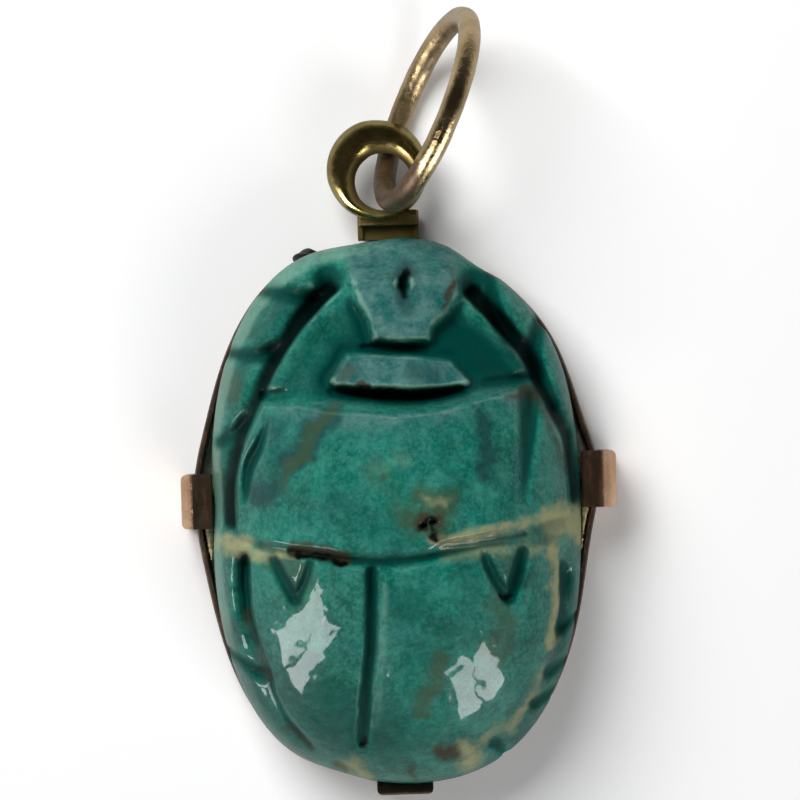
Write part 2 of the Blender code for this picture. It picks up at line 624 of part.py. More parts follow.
def build_bail(gold):
    """The loop, thick on the left and slim on the right, on its pocketed square post."""
    centre_x, centre_y = loop_centre()
    hole_x, hole_y = hole_centre()
    vertices = []
    for index in range(LOOP_SEGMENTS):
        turn = 2 * math.pi * index / LOOP_SEGMENTS
        cos = math.cos(turn)
        sin = math.sin(turn)
        across = (hole_x - centre_x) * cos + (hole_y - centre_y) * sin
        square = (hole_x - centre_x) ** 2 + (hole_y - centre_y) ** 2
        outer = -across + math.sqrt(across ** 2 - square + LOOP_RADIUS ** 2)
        middle = (outer + HOLE_RADIUS) / 2
        half = (outer - HOLE_RADIUS) / 2
        for side in range(LOOP_SIDES):
            lean = 2 * math.pi * side / LOOP_SIDES
            radius = middle + half * math.cos(lean)
            vertices.append((hole_x + radius * cos, hole_y + radius * sin,
                             LOOP_MIDDLE_HEIGHT + LOOP_DEPTH / 2 * math.sin(lean)))
    bail = new_object("bail", vertices, loop_faces(LOOP_SEGMENTS, LOOP_SIDES), gold)
    start = head_of_collar() + FIT_GAP
    end = start + POST_LENGTH
    hole_edge = hole_y - HOLE_RADIUS
    post = box("post", POST_WIDTH, start, hole_edge, POST_BOTTOM, COLLAR_HEIGHT, gold)
    pocket = box("post pocket", POST_WIDTH - 2 * POST_WALL, start - POST_WALL, end - POST_WALL,
                 COLLAR_HEIGHT - POST_POCKET_DEPTH, COLLAR_HEIGHT + POST_WALL, gold)
    cut_hole(post, pocket)
    union(bail, post)
    saddle = box("saddle", POST_WIDTH - POST_WALL / 2, end - POST_WALL, hole_edge,
                 POST_BOTTOM + POST_WALL, LOOP_MIDDLE_HEIGHT, gold)
    union(bail, saddle)
    return bail


def box(name, width, front, back, bottom, top, finish):
    """A box centred on X = 0, between two places along Y and two heights."""
    vertices = []
    for z in (bottom, top):
        for x, y in ((-1, front), (1, front), (1, back), (-1, back)):
            vertices.append((x * width / 2, y, z))
    faces = [(0, 3, 2, 1), (4, 5, 6, 7), (0, 1, 5, 4), (1, 2, 6, 5), (2, 3, 7, 6), (3, 0, 4, 7)]
    thing = new_object(name, vertices, faces, finish)
    thing.data.shade_flat()
    return thing


def cut_hole(base, cutter):
    """Cut a hidden shape out of an object with a Boolean difference."""
    modifier = base.modifiers.new("Cut " + cutter.name, 'BOOLEAN')
    modifier.operation = 'DIFFERENCE'
    modifier.object = cutter
    hide_cutter(cutter)


def build_jump_ring(gold):
    """The wire ring, leaning through the bail's hole with its lowest point just off the ground."""
    along = np.array((math.cos(RING_HEADING), math.sin(RING_HEADING), 0.0))
    across = np.array((math.sin(RING_HEADING), -math.cos(RING_HEADING), 0.0))
    upward = math.sin(RING_LEAN) * across + math.cos(RING_LEAN) * np.array((0.0, 0.0, 1.0))
    normal = np.cross(along, upward)
    centre_height = RING_RADIUS * math.cos(RING_LEAN) + RING_WIRE_RADIUS + RING_FLOOR_GAP
    sine = -(centre_height - LOOP_MIDDLE_HEIGHT) / (RING_RADIUS * math.cos(RING_LEAN))
    cosine = -math.sqrt(1 - sine ** 2)
    crossing = RING_RADIUS * (cosine * along + sine * upward)
    hole_x, hole_y = hole_centre()
    centre = np.array((hole_x + RING_HOLE_SHIFT_X - crossing[0],
                       hole_y + RING_HOLE_SHIFT_Y - crossing[1], centre_height))
    vertices = []
    for index in range(RING_SEGMENTS):
        turn = 2 * math.pi * index / RING_SEGMENTS
        outward = math.cos(turn) * along + math.sin(turn) * upward
        for side in range(RING_SIDES):
            lean = 2 * math.pi * side / RING_SIDES
            vertices.append(centre + RING_RADIUS * outward
                            + RING_WIRE_RADIUS * (math.cos(lean) * outward + math.sin(lean) * normal))
    return new_object("jump_ring", vertices, loop_faces(RING_SEGMENTS, RING_SIDES), gold)


def build_cement(name, side, offset, end, cement):
    """The bedding between the scarab's side and the collar, from behind a claw to below it."""
    vertices = []
    shoulder = COLLAR_HEIGHT - FIT_GAP
    for column in range(CEMENT_COLUMNS + 1):
        share = column / CEMENT_COLUMNS
        y = offset + CEMENT_START - (CEMENT_START + end) * share
        angle = math.asin(y / HALF_WIDTH)
        if side < 0:
            angle = math.pi - angle
        inner = float(plate_radius(angle)) + FIT_GAP
        outer = float(collar_radii(angle)[0]) - FIT_GAP
        rim = float(outline_radius(angle)) + FIT_GAP
        top = shoulder + (CEMENT_TOP - shoulder) * (0.35 + 0.65 * math.sin(math.pi * share))
        for radius, height in ((inner, FIT_GAP), (outer, FIT_GAP), (outer, top),
                               (rim, top), (rim, shoulder), (inner, shoulder)):
            vertices.append((radius * math.cos(angle), radius * math.sin(angle), height))
    sides = 6
    faces = loop_faces(CEMENT_COLUMNS + 1, sides)[:-sides]
    last = sides * CEMENT_COLUMNS
    faces.append(tuple(range(sides)))
    faces.append(tuple(range(last + sides - 1, last - 1, -1)))
    return new_object(name, vertices, faces, cement)


def main():
    """Clear the scene and build each piece."""
    for thing in list(bpy.data.objects):
        bpy.data.objects.remove(thing, do_unlink=True)
    glazed_stone = material("glazed stone", (0.030, 0.150, 0.115), 0.28, 0.0)
    rose_gold = material("rose gold", (0.56, 0.33, 0.20), 0.25, 1.0)
    yellow_gold = material("yellow gold", (0.52, 0.42, 0.18), 0.30, 1.0)
    cement = material("bedding cement", (0.50, 0.42, 0.22), 0.90, 0.0)
    build_scarab(glazed_stone)
    build_mount(rose_gold)
    build_bail(yellow_gold)
    build_jump_ring(yellow_gold)
    build_cement("cement_left", -1, LEFT_CLAW_OFFSET, LEFT_CEMENT_END, cement)
    build_cement("cement_right", 1, RIGHT_CLAW_OFFSET, RIGHT_CEMENT_END, cement)


main()
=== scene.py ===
"""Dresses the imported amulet: a carved glazed scarab, its gold claw mount, bail and jump ring."""

import logging
import math
from dataclasses import dataclass
from enum import Enum

import bmesh
import bpy
import numpy as np
from mathutils import Matrix, Vector


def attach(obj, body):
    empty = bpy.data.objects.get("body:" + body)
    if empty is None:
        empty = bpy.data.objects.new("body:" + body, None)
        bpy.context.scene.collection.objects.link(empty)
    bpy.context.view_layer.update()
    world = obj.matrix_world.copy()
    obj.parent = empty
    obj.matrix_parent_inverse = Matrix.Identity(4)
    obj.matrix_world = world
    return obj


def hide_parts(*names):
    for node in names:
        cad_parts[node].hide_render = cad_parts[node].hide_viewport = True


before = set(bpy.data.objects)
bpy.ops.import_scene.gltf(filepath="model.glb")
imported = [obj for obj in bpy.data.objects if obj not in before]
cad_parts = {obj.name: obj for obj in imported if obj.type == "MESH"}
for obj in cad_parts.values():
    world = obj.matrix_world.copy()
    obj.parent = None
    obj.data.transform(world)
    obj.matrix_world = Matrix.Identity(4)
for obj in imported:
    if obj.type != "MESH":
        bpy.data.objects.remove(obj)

LOG = logging.getLogger("amulet")
MM = 0.001
Points = tuple[tuple[float, float], ...]


class Tone(Enum):
    """What a mark on the stone is made of, or painted shade for the dark crevice marks; each has its own
    mask on the mesh.
    """

    BROWN = "brown_stain"
    # Painted shade: darkness in the pits, the drilled eye and along the waist groove.
    BLACK = "black_hole"
    SLATE = "slate_stain"
    CREAM = "cream_body"
    OLIVE = "olive_stain"
    DEEP = "deep_glaze"


class Side(Enum):
    """A side of the amulet, as the sign of its X."""

    LEFT = -1
    RIGHT = 1

    @property
    def index(self) -> int:
        """Its place in a pair of sizes, left first."""
        return 0 if self is Side.LEFT else 1

    def turned(self, angle: float) -> float:
        """An angle from +X, mirrored for the left side."""
        return angle if self is Side.RIGHT else math.pi - angle


@dataclass(frozen=True)
class CarvedLine:
    """A line cut into the back.

    Its width and depth are thousandths of the scarab's length. Its strength runs from start to
    end, with swell added in the middle. A crease has a sharp bottom and rounded shoulders.
    """

    name: str
    width: float
    depth: float
    start: float
    end: float
    points: Points
    swell: float = 0.0
    crease: float = 0.0


@dataclass(frozen=True)
class Mark:
    """A stain, a bare patch or painted crevice shade along a line; the width is in thousandths of the
    length.
    """

    tone: Tone
    width: float
    strength: float
    points: Points


BODY_EDGE_LEFT: Points = (
    (-0.25, 0.82), (-0.36, 0.75), (-0.47, 0.67), (-0.58, 0.56), (-0.66, 0.455),
    (-0.74, 0.34), (-0.805, 0.23), (-0.85, 0.09), (-0.85, -0.09))
BODY_EDGE_RIGHT: Points = (
    (0.37, 0.8), (0.47, 0.72), (0.62, 0.605), (0.71, 0.52), (0.75, 0.44),
    (0.83, 0.34), (0.895, 0.235), (0.925, 0.1), (0.94, -0.03))
THORAX_FRONT: Points = (
    (-0.7, 0.4), (-0.5, 0.392), (-0.33, 0.372), (-0.15, 0.358), (0.04, 0.35),
    (0.25, 0.358), (0.45, 0.392), (0.61, 0.42), (0.77, 0.44))
THORAX_BACK: Points = (
    (-0.84, -0.09), (-0.71, -0.095), (-0.5, -0.115), (-0.27, -0.14), (0.01, -0.143),
    (0.16, -0.132), (0.24, -0.111), (0.38, -0.096), (0.66, -0.06), (0.94, -0.02))
WINGS_FRONT: Points = (
    (-0.76, -0.125), (-0.51, -0.15), (-0.28, -0.178), (0.01, -0.193), (0.21, -0.17),
    (0.54, -0.155), (0.86, -0.13))
WING_EDGE_LEFT: Points = (
    (-0.785, -0.12), (-0.785, -0.25), (-0.775, -0.36), (-0.735, -0.465), (-0.69, -0.57),
    (-0.65, -0.66), (-0.59, -0.74), (-0.49, -0.815), (-0.39, -0.875), (-0.25, -0.925))
WING_EDGE_RIGHT: Points = (
    (0.85, -0.12), (0.86, -0.28), (0.845, -0.42), (0.815, -0.515), (0.77, -0.585),
    (0.705, -0.675), (0.625, -0.765), (0.51, -0.83), (0.36, -0.865))
HEAD_PLATE: Points = (
    (-0.235, 0.95), (-0.235, 0.885), (-0.195, 0.79), (-0.13, 0.69), (-0.1, 0.62),
    (0.06, 0.608), (0.21, 0.61), (0.22, 0.655), (0.315, 0.705), (0.38, 0.77),
    (0.375, 0.81), (0.34, 0.85), (0.38, 0.91), (0.28, 1.02), (-0.12, 1.02))
BROW_BAR: Points = (
    (-0.24, 0.57), (0.06, 0.562), (0.31, 0.535), (0.42, 0.455), (0.395, 0.438),
    (0.055, 0.433), (-0.3, 0.454), (-0.33, 0.475))
WING_SEAM: Points = (
    (-0.137, -0.2), (-0.142, -0.32), (-0.153, -0.46), (-0.175, -0.59), (-0.194, -0.72),
    (-0.214, -0.815))

CARVED_LINES: tuple[CarvedLine, ...] = (
    CarvedLine("slot under the head", 13, 30, 0.5, 0.5,
               ((-0.15, 0.588), (0.06, 0.581), (0.2, 0.572)), 0.5),
    CarvedLine("slot under the bar", 17, 50, 0.45, 0.45,
               ((-0.32, 0.437), (-0.15, 0.421), (0.03, 0.409), (0.22, 0.412), (0.37, 0.426)), 0.55),
    CarvedLine("left cheek slot", 14, 24, 1.0, 0.5,
               ((-0.685, 0.432), (-0.53, 0.429), (-0.36, 0.42))),
    CarvedLine("right cheek slot", 15, 26, 0.6, 1.0,
               ((0.5, 0.45), (0.64, 0.466), (0.75, 0.476))),
    CarvedLine("left shoulder sliver", 16, 24, 0.2, 0.3,
               ((-0.67, 0.33), (-0.725, 0.24), (-0.775, 0.165), (-0.8, 0.05)), 0.8),
    CarvedLine("right shoulder wedge", 30, 27, 1.0, 0.2,
               ((0.728, 0.405), (0.715, 0.278), (0.694, 0.151), (0.675, 0.03))),
    CarvedLine("waist", 14, 18, 0.7, 0.3,
               ((-0.55, -0.13), (-0.27, -0.16), (0.01, -0.17), (0.21, -0.15), (0.45, -0.13),
                (0.67, -0.108))),
    CarvedLine("upper waist line", 8, 8, 0.4, 1.0, ((0.29, -0.125), (0.47, -0.112), (0.68, -0.085))),
    CarvedLine("wing seam", 16, 27, 1.0, 0.8, WING_SEAM),
    CarvedLine("left mark, outer arm", 20, 21, 0.7, 1.0,
               ((-0.65, -0.156), (-0.6, -0.229), (-0.543, -0.298))),
    CarvedLine("left mark, inner arm", 18, 19, 0.6, 1.0,
               ((-0.456, -0.168), (-0.497, -0.239), (-0.543, -0.298))),
    CarvedLine("right mark, inner arm", 18, 22, 0.8, 1.0,
               ((0.465, -0.17), (0.52, -0.252), (0.584, -0.314))),
    CarvedLine("right mark, outer arm", 20, 26, 0.9, 1.0,
               ((0.664, -0.155), (0.622, -0.243), (0.584, -0.314))),
    CarvedLine("left leg notch 1", 36, 36, 0.45, 1.0,
               ((-0.68, 0.808), (-0.54, 0.791), (-0.41, 0.77)), 0.0, 0.8),
    CarvedLine("left leg notch 2", 33, 34, 0.5, 1.0,
               ((-0.86, 0.585), (-0.755, 0.577), (-0.65, 0.585)), 0.0, 0.8),
    CarvedLine("left leg notch 3", 30, 28, 0.7, 0.7,
               ((-0.93, 0.265), (-0.876, 0.29), (-0.785, 0.338)), 0.0, 0.7),
    CarvedLine("right leg notch 1", 27, 33, 0.6, 0.8,
               ((0.534, 0.84), (0.557, 0.73), (0.628, 0.62)), 0.2, 0.4),
    CarvedLine("right leg notch 2", 28, 34, 0.5, 0.6,
               ((0.80, 0.67), (0.76, 0.565), (0.785, 0.48), (0.86, 0.37)), 0.4, 0.4),
    CarvedLine("right leg notch 3", 16, 18, 0.8, 0.3,
               ((0.93, 0.27), (0.93, 0.22), (0.94, 0.15)), 0.0, 0.4),
    CarvedLine("left hind leg notch", 22, 18, 0.5, 0.9,
               ((-0.93, -0.495), (-0.855, -0.525), (-0.755, -0.57)), 0.0, 0.7),
    CarvedLine("left channel crevice", 11, 20, 0.8, 0.5,
               ((-0.812, -0.15), (-0.812, -0.26), (-0.80, -0.37))),
    CarvedLine("left hind crevice", 10, 11, 0.3, 0.7,
               ((-0.715, -0.575), (-0.66, -0.68), (-0.60, -0.755), (-0.50, -0.833))),
    CarvedLine("right hind leg notch 1", 20, 20, 1.0, 0.5,
               ((0.86, -0.44), (0.905, -0.42), (0.97, -0.4)), 0.0, 0.6),
    CarvedLine("right hind leg notch 2", 20, 20, 1.0, 0.5,
               ((0.79, -0.6), (0.83, -0.585), (0.9, -0.565)), 0.0, 0.6),
    CarvedLine("right hind leg notch 3", 20, 20, 1.0, 0.5,
               ((0.71, -0.71), (0.765, -0.69), (0.84, -0.665)), 0.0, 0.6),
    CarvedLine("right hind leg notch 4", 20, 20, 1.0, 0.5,
               ((0.49, -0.845), (0.52, -0.87), (0.56, -0.91)), 0.0, 0.6),
    CarvedLine("line on the head", 5, 4, 1.0, 1.0, ((-0.09, 0.635), (0.05, 0.64), (0.19, 0.63))),
    CarvedLine("tail of the drilled eye", 7, 9, 1.0, 0.2, ((0.076, 0.80), (0.082, 0.745))),
    CarvedLine("right cheek scratch 1", 5, 7, 0.6, 0.6, ((0.50, 0.615), (0.61, 0.565))),
    CarvedLine("right cheek scratch 2", 5, 7, 0.6, 0.6, ((0.53, 0.575), (0.64, 0.54))),
)

# Hollows: centre as shares of the half sizes; half width, half length and depth in thousandths
HOLLOWS: tuple[tuple[float, ...], ...] = (
    (0.076, 0.815, 14, 25, 36),
    (-0.33, 0.845, 44, 40, 24),
    (0.45, 0.82, 40, 40, 23),
    (-0.214, -0.815, 12, 13, 11),
    (0.145, -0.045, 9, 9, 17),
    (0.195, -0.035, 10, 8, 19),
    (0.578, -0.31, 11, 7, 10),
)

# Flats that wear has left on the outline: angle from +X and half angle in degrees, depth in
# thousandths of the length
OUTLINE_FLATS: tuple[tuple[float, ...], ...] = (
    (65, 15, 17),
    (71, 5, 8),
    (98, 9, 10),
    (178, 11, 7),
    (256, 9, 11),
)

MARKS: tuple[Mark, ...] = (
    Mark(Tone.DEEP, 110, 0.95, ((-0.52, -0.60), (-0.36, -0.72), (-0.12, -0.78))),
    Mark(Tone.DEEP, 90, 0.45, ((-0.08, -0.86), (0.12, -0.82), (0.24, -0.80))),
    Mark(Tone.DEEP, 90, 0.55, ((0.02, -0.30), (0.20, -0.42), (0.10, -0.62))),
    Mark(Tone.DEEP, 60, 0.40, ((0.32, -0.16), (0.36, -0.30), (0.38, -0.44))),
    Mark(Tone.DEEP, 46, 0.80, ((-0.56, 0.74), (-0.72, 0.66))),
    Mark(Tone.DEEP, 46, 0.80, ((-0.80, 0.54), (-0.87, 0.42))),
    Mark(Tone.DEEP, 44, 0.75, ((-0.93, 0.24), (-0.95, 0.05))),
    Mark(Tone.DEEP, 60, 0.65, ((-0.88, -0.42), (-0.84, -0.55), (-0.72, -0.72), (-0.50, -0.88))),
    Mark(Tone.DEEP, 60, 0.80, ((0.92, -0.30), (0.90, -0.48), (0.80, -0.66), (0.62, -0.82))),
    Mark(Tone.DEEP, 50, 0.25, ((0.60, 0.72), (0.70, 0.62))),
    Mark(Tone.DEEP, 80, 0.50, ((-0.30, 0.05), (-0.10, -0.05), (0.05, -0.08))),
    Mark(Tone.DEEP, 60, 0.40, ((0.25, 0.25), (0.35, 0.08))),
    Mark(Tone.SLATE, 46, 0.9, ((-0.34, 0.36), (-0.45, 0.26), (-0.55, 0.17), (-0.74, 0.08))),
    Mark(Tone.OLIVE, 21, 1.0, ((-0.33, 0.39), (-0.41, 0.32), (-0.49, 0.21), (-0.60, 0.13))),
    Mark(Tone.SLATE, 36, 0.9, ((0.455, 0.33), (0.475, 0.22), (0.50, 0.12))),
    Mark(Tone.SLATE, 60, 0.45, ((-0.62, 0.33), (-0.66, 0.20), (-0.70, 0.12))),
    Mark(Tone.OLIVE, 56, 0.9, ((0.10, -0.03), (0.22, -0.02))),
    Mark(Tone.BROWN, 34, 0.9, ((0.13, -0.03), (0.21, -0.03), (0.23, -0.08))),
    # Painted shade in the two pits at the waist.
    Mark(Tone.BLACK, 14, 1.0, ((0.125, -0.045), (0.155, -0.035))),
    Mark(Tone.BLACK, 15, 1.0, ((0.185, -0.025), (0.215, -0.05), (0.21, -0.09))),
    Mark(Tone.OLIVE, 42, 1.0, ((0.15, 0.05), (0.27, 0.03))),
    Mark(Tone.CREAM, 22, 0.4, ((0.18, 0.045), (0.25, 0.03))),
    Mark(Tone.BROWN, 26, 1.0, ((-0.54, -0.115), (-0.40, -0.135), (-0.26, -0.145))),
    # Painted shade along the left half of the waist groove.
    Mark(Tone.BLACK, 11, 1.0, ((-0.53, -0.13), (-0.46, -0.15), (-0.36, -0.152), (-0.26, -0.155))),
    Mark(Tone.CREAM, 66, 0.22, ((-0.05, 0.17), (0.02, 0.20))),
    Mark(Tone.OLIVE, 16, 1.0, ((-0.06, 0.12), (-0.07, 0.11))),
    Mark(Tone.OLIVE, 60, 0.45, ((-0.12, 0.14), (-0.02, 0.08), (0.04, 0.0))),
    Mark(Tone.OLIVE, 34, 0.9, ((0.21, -0.53), (0.17, -0.60), (0.10, -0.71))),
    # Painted shade in the drilled eye on the head.
    Mark(Tone.BLACK, 18, 1.0, ((0.076, 0.84), (0.076, 0.79))),
    Mark(Tone.SLATE, 44, 0.9, ((0.076, 0.85), (0.076, 0.77))),
    Mark(Tone.OLIVE, 46, 0.8, ((0.54, -0.31), (0.53, -0.44), (0.50, -0.50))),
    Mark(Tone.BROWN, 28, 0.9, ((0.21, -0.85), (0.26, -0.87))),
    Mark(Tone.CREAM, 40, 0.7, ((0.33, -0.86), (0.38, -0.89), (0.33, -0.93))),
    Mark(Tone.CREAM, 40, 0.7, ((-0.30, -0.90), (-0.22, -0.94))),
    Mark(Tone.BROWN, 18, 0.7, ((-0.35, -0.90), (-0.30, -0.93))),
    Mark(Tone.BROWN, 20, 0.6, ((0.05, -0.93), (0.06, -0.96))),
    Mark(Tone.BROWN, 13, 1.0, ((-0.15, 0.475), (-0.12, 0.47))),
    Mark(Tone.BROWN, 34, 0.5, ((-0.27, 0.50), (-0.20, 0.52))),
    Mark(Tone.SLATE, 40, 0.6, ((0.12, 0.50), (0.24, 0.49))),
    Mark(Tone.BROWN, 13, 0.9, ((0.33, 0.82), (0.31, 0.77), (0.30, 0.74))),
    Mark(Tone.BROWN, 22, 0.5, ((0.60, 0.40), (0.74, 0.41), (0.80, 0.36), (0.84, 0.28), (0.90, 0.12))),
    Mark(Tone.CREAM, 30, 0.75, ((0.22, -0.10), (0.45, -0.085), (0.68, -0.05), (0.95, -0.02))),
    Mark(Tone.CREAM, 40, 0.45, ((0.25, -0.14), (0.45, -0.135), (0.68, -0.12), (0.85, -0.09))),
    Mark(Tone.CREAM, 62, 1.0, ((0.86, -0.05), (1.0, -0.07))),
    Mark(Tone.CREAM, 26, 0.8, ((0.80, -0.13), (0.83, -0.25), (0.83, -0.40), (0.80, -0.50))),
    Mark(Tone.CREAM, 22, 0.5, ((0.76, -0.58), (0.70, -0.66), (0.60, -0.76), (0.45, -0.84))),
    Mark(Tone.CREAM, 34, 0.8, ((-0.99, -0.10), (-0.90, -0.12), (-0.80, -0.12))),
    Mark(Tone.CREAM, 24, 0.6, ((-0.74, -0.14), (-0.62, -0.13), (-0.54, -0.13))),
    Mark(Tone.OLIVE, 62, 0.8, ((-0.62, -0.16), (-0.54, -0.20), (-0.54, -0.28))),
    Mark(Tone.OLIVE, 40, 0.5, ((0.56, -0.17), (0.58, -0.26))),
    # Painted shade in the pits at the right mark's tip and at the wing seam's end.
    Mark(Tone.BLACK, 12, 0.9, ((0.54, -0.305), (0.575, -0.32), (0.62, -0.30))),
    Mark(Tone.BLACK, 15, 0.9, ((-0.214, -0.80), (-0.216, -0.83))),
    Mark(Tone.SLATE, 30, 0.8, ((0.64, -0.18), (0.68, -0.25))),
    Mark(Tone.BROWN, 34, 0.5, ((-0.80, -0.36), (-0.77, -0.46), (-0.72, -0.56))),
    Mark(Tone.BROWN, 15, 0.7, ((-0.60, -0.78), (-0.50, -0.84))),
    Mark(Tone.OLIVE, 44, 0.6, ((-0.87, 0.48), (-0.85, 0.42))),
    Mark(Tone.OLIVE, 40, 0.5, ((-0.95, 0.20), (-0.90, 0.05))),
    Mark(Tone.SLATE, 20, 0.9, ((0.60, 0.60), (0.66, 0.55), (0.70, 0.50))),
)


def smoothstep(low: float, high: float, value: np.ndarray) -> np.ndarray:
    """Rise smoothly from 0 at low to 1 at high."""
    t = np.clip((value - low) / (high - low), 0.0, 1.0)
    return t * t * (3 - 2 * t)


def value_noise(x: np.ndarray, y: np.ndarray, scale: float, seed: int) -> np.ndarray:
    """Smooth random values from -1 to 1 over a plane.

    Args:
        x, y: places in metres.
        scale: distance over which the values change.
        seed: picks the pattern.

    Returns:
        One value for each place.
    """
    cells = 128
    table = np.random.default_rng(seed).random((cells, cells)) * 2 - 1
    grid_x, grid_y = x / scale, y / scale
    column, row = np.floor(grid_x).astype(int), np.floor(grid_y).astype(int)
    fx, fy = grid_x - column, grid_y - row
    fx, fy = fx * fx * (3 - 2 * fx), fy * fy * (3 - 2 * fy)
    corner = [table[(row + dy) % cells, (column + dx) % cells] for dy in (0, 1) for dx in (0, 1)]
    low = corner[0] * (1 - fx) + corner[1] * fx
    high = corner[2] * (1 - fx) + corner[3] * fx
    return low * (1 - fy) + high * fy


def distance_to_path(x: np.ndarray, y: np.ndarray, path: np.ndarray) -> tuple[np.ndarray, np.ndarray]:
    """Measure places against a path.

    Args:
        x, y: places in metres.
        path: points along the path, one in each row.

    Returns:
        The distance, positive on the path's left side, and the share of the path reached.
    """
    best = np.full(x.shape, np.inf)
    side = np.ones(x.shape)
    share = np.zeros(x.shape)
    count = len(path) - 1
    for index in range(count):
        start, run = path[index], path[index + 1] - path[index]
        t = ((x - start[0]) * run[0] + (y - start[1]) * run[1]) / np.dot(run, run)
        t = np.clip(t, 0.0, 1.0)
        off_x, off_y = x - start[0] - t * run[0], y - start[1] - t * run[1]
        distance = np.hypot(off_x, off_y)
        nearer = distance < best
        best = np.where(nearer, distance, best)
        side = np.where(nearer, np.sign(run[0] * off_y - run[1] * off_x), side)
        share = np.where(nearer, (index + t) / count, share)
    return best * side, share


def distance_inside(x: np.ndarray, y: np.ndarray, outline: np.ndarray) -> np.ndarray:
    """Distance from a closed outline, positive inside it.

    Args:
        x, y: places in metres.
        outline: its corners, one in each row.

    Returns:
        The distance at each place.
    """
    closed = np.vstack((outline, outline[:1]))
    distance = np.abs(distance_to_path(x, y, closed)[0])
    inside = np.zeros(x.shape, dtype=bool)
    for (x0, y0), (x1, y1) in zip(closed, closed[1:]):
        if y0 == y1:
            continue
        crossing = (y0 > y) != (y1 > y)
        inside ^= crossing & (x < x0 + (y - y0) * (x1 - x0) / (y1 - y0))
    return np.where(inside, distance, -distance)


def averaged(grid: np.ndarray, times: int, reach: int = 1) -> np.ndarray:
    """Put each point of a grid between its neighbours.

    Args:
        grid: rows of points; each row closes on itself.
        times: how often this is done.
        reach: how many columns away the neighbours along a row are.

    Returns:
        The grid of averaged points.
    """
    for _ in range(times):
        padded = np.concatenate((grid[:1], grid, grid[-1:]))
        grid = (np.roll(grid, reach, axis=1) + np.roll(grid, -reach, axis=1)
                + padded[:-2] + padded[2:]) / 4
    return grid


def tube_faces(rings: int, sides: int, closed: bool = True) -> list[tuple[int, ...]]:
    """Quads between rings of points that follow each other, and end caps if it is open.

    Args:
        rings: how many rings there are.
        sides: how many points each has.
        closed: whether the last ring meets the first.

    Returns:
        The faces, as point numbers.
    """
    faces = []
    for ring in range(rings if closed else rings - 1):
        following = (ring + 1) % rings
        for side in range(sides):
            turned = (side + 1) % sides
            faces.append((ring * sides + side, ring * sides + turned,
                          following * sides + turned, following * sides + side))
    if not closed:
        faces.append(tuple(range(sides - 1, -1, -1)))
        faces.append(tuple(range((rings - 1) * sides, rings * sides)))
    return faces


def link_piece(name: str, mesh: bpy.types.Mesh, material: bpy.types.Material) -> bpy.types.Object:
    """Make an object of a mesh and give it its finish."""
    mesh.materials.append(material)
    piece = bpy.data.objects.new(name, mesh)
    bpy.context.collection.objects.link(piece)
    return piece


def link_block(name: str, work: bmesh.types.BMesh, material: bpy.types.Material) -> bpy.types.Object:
    """Make an object of a mesh under construction, and give it its finish.

    Args:
        name: the object's name.
        work: the mesh, which is freed.
        material: the finish.

    Returns:
        The object.
    """
    mesh = bpy.data.meshes.new(name)
    work.to_mesh(mesh)
    work.free()
    return link_piece(name, mesh, material)


def turn_outwards(mesh: bpy.types.Mesh) -> None:
    """Make the faces of a closed mesh point outwards, and shade it smooth."""
    work = bmesh.new()
    work.from_mesh(mesh)
    bmesh.ops.recalc_face_normals(work, faces=work.faces)
    work.to_mesh(mesh)
    work.free()
    mesh.shade_smooth()


def new_piece(name: str, vertices: list, faces: list, material: bpy.types.Material) -> bpy.types.Object:
    """Make a smooth closed mesh object whose faces point outwards.

    Args:
        name: the object's name.
        vertices, faces: its points and faces.
        material: the finish.

    Returns:
        The object.
    """
    mesh = bpy.data.meshes.new(name)
    mesh.from_pydata([tuple(map(float, point)) for point in vertices], [], faces)
    turn_outwards(mesh)
    return link_piece(name, mesh, material)


def settle(piece: bpy.types.Object) -> bpy.types.Object:
    """Turn a piece's modifiers into plain mesh and drop them.

    Args:
        piece: the object.

    Returns:
        The same object.
    """
    graph = bpy.context.evaluated_depsgraph_get()
    graph.update()
    mesh = bpy.data.meshes.new_from_object(piece.evaluated_get(graph), depsgraph=graph)
    piece.modifiers.clear()
    piece.data = mesh
    return piece


def combine(base: bpy.types.Object, other: bpy.types.Object, operation: str) -> None:
    """Join a closed shape to a piece or cut it out of it, and remove the shape.

    Args:
        base: the piece.
        other: the shape.
        operation: the Boolean modifier's name for it.
    """
    modifier = base.modifiers.new("Combine", 'BOOLEAN')
    modifier.operation = operation
    modifier.object = other
    settle(base)
    bpy.data.objects.remove(other, do_unlink=True)


def join_solids(base: bpy.types.Object, additions: list[bpy.types.Object]) -> bpy.types.Object:
    """Join further closed shapes to a piece."""
    for addition in additions:
        combine(base, addition, 'UNION')
    return base


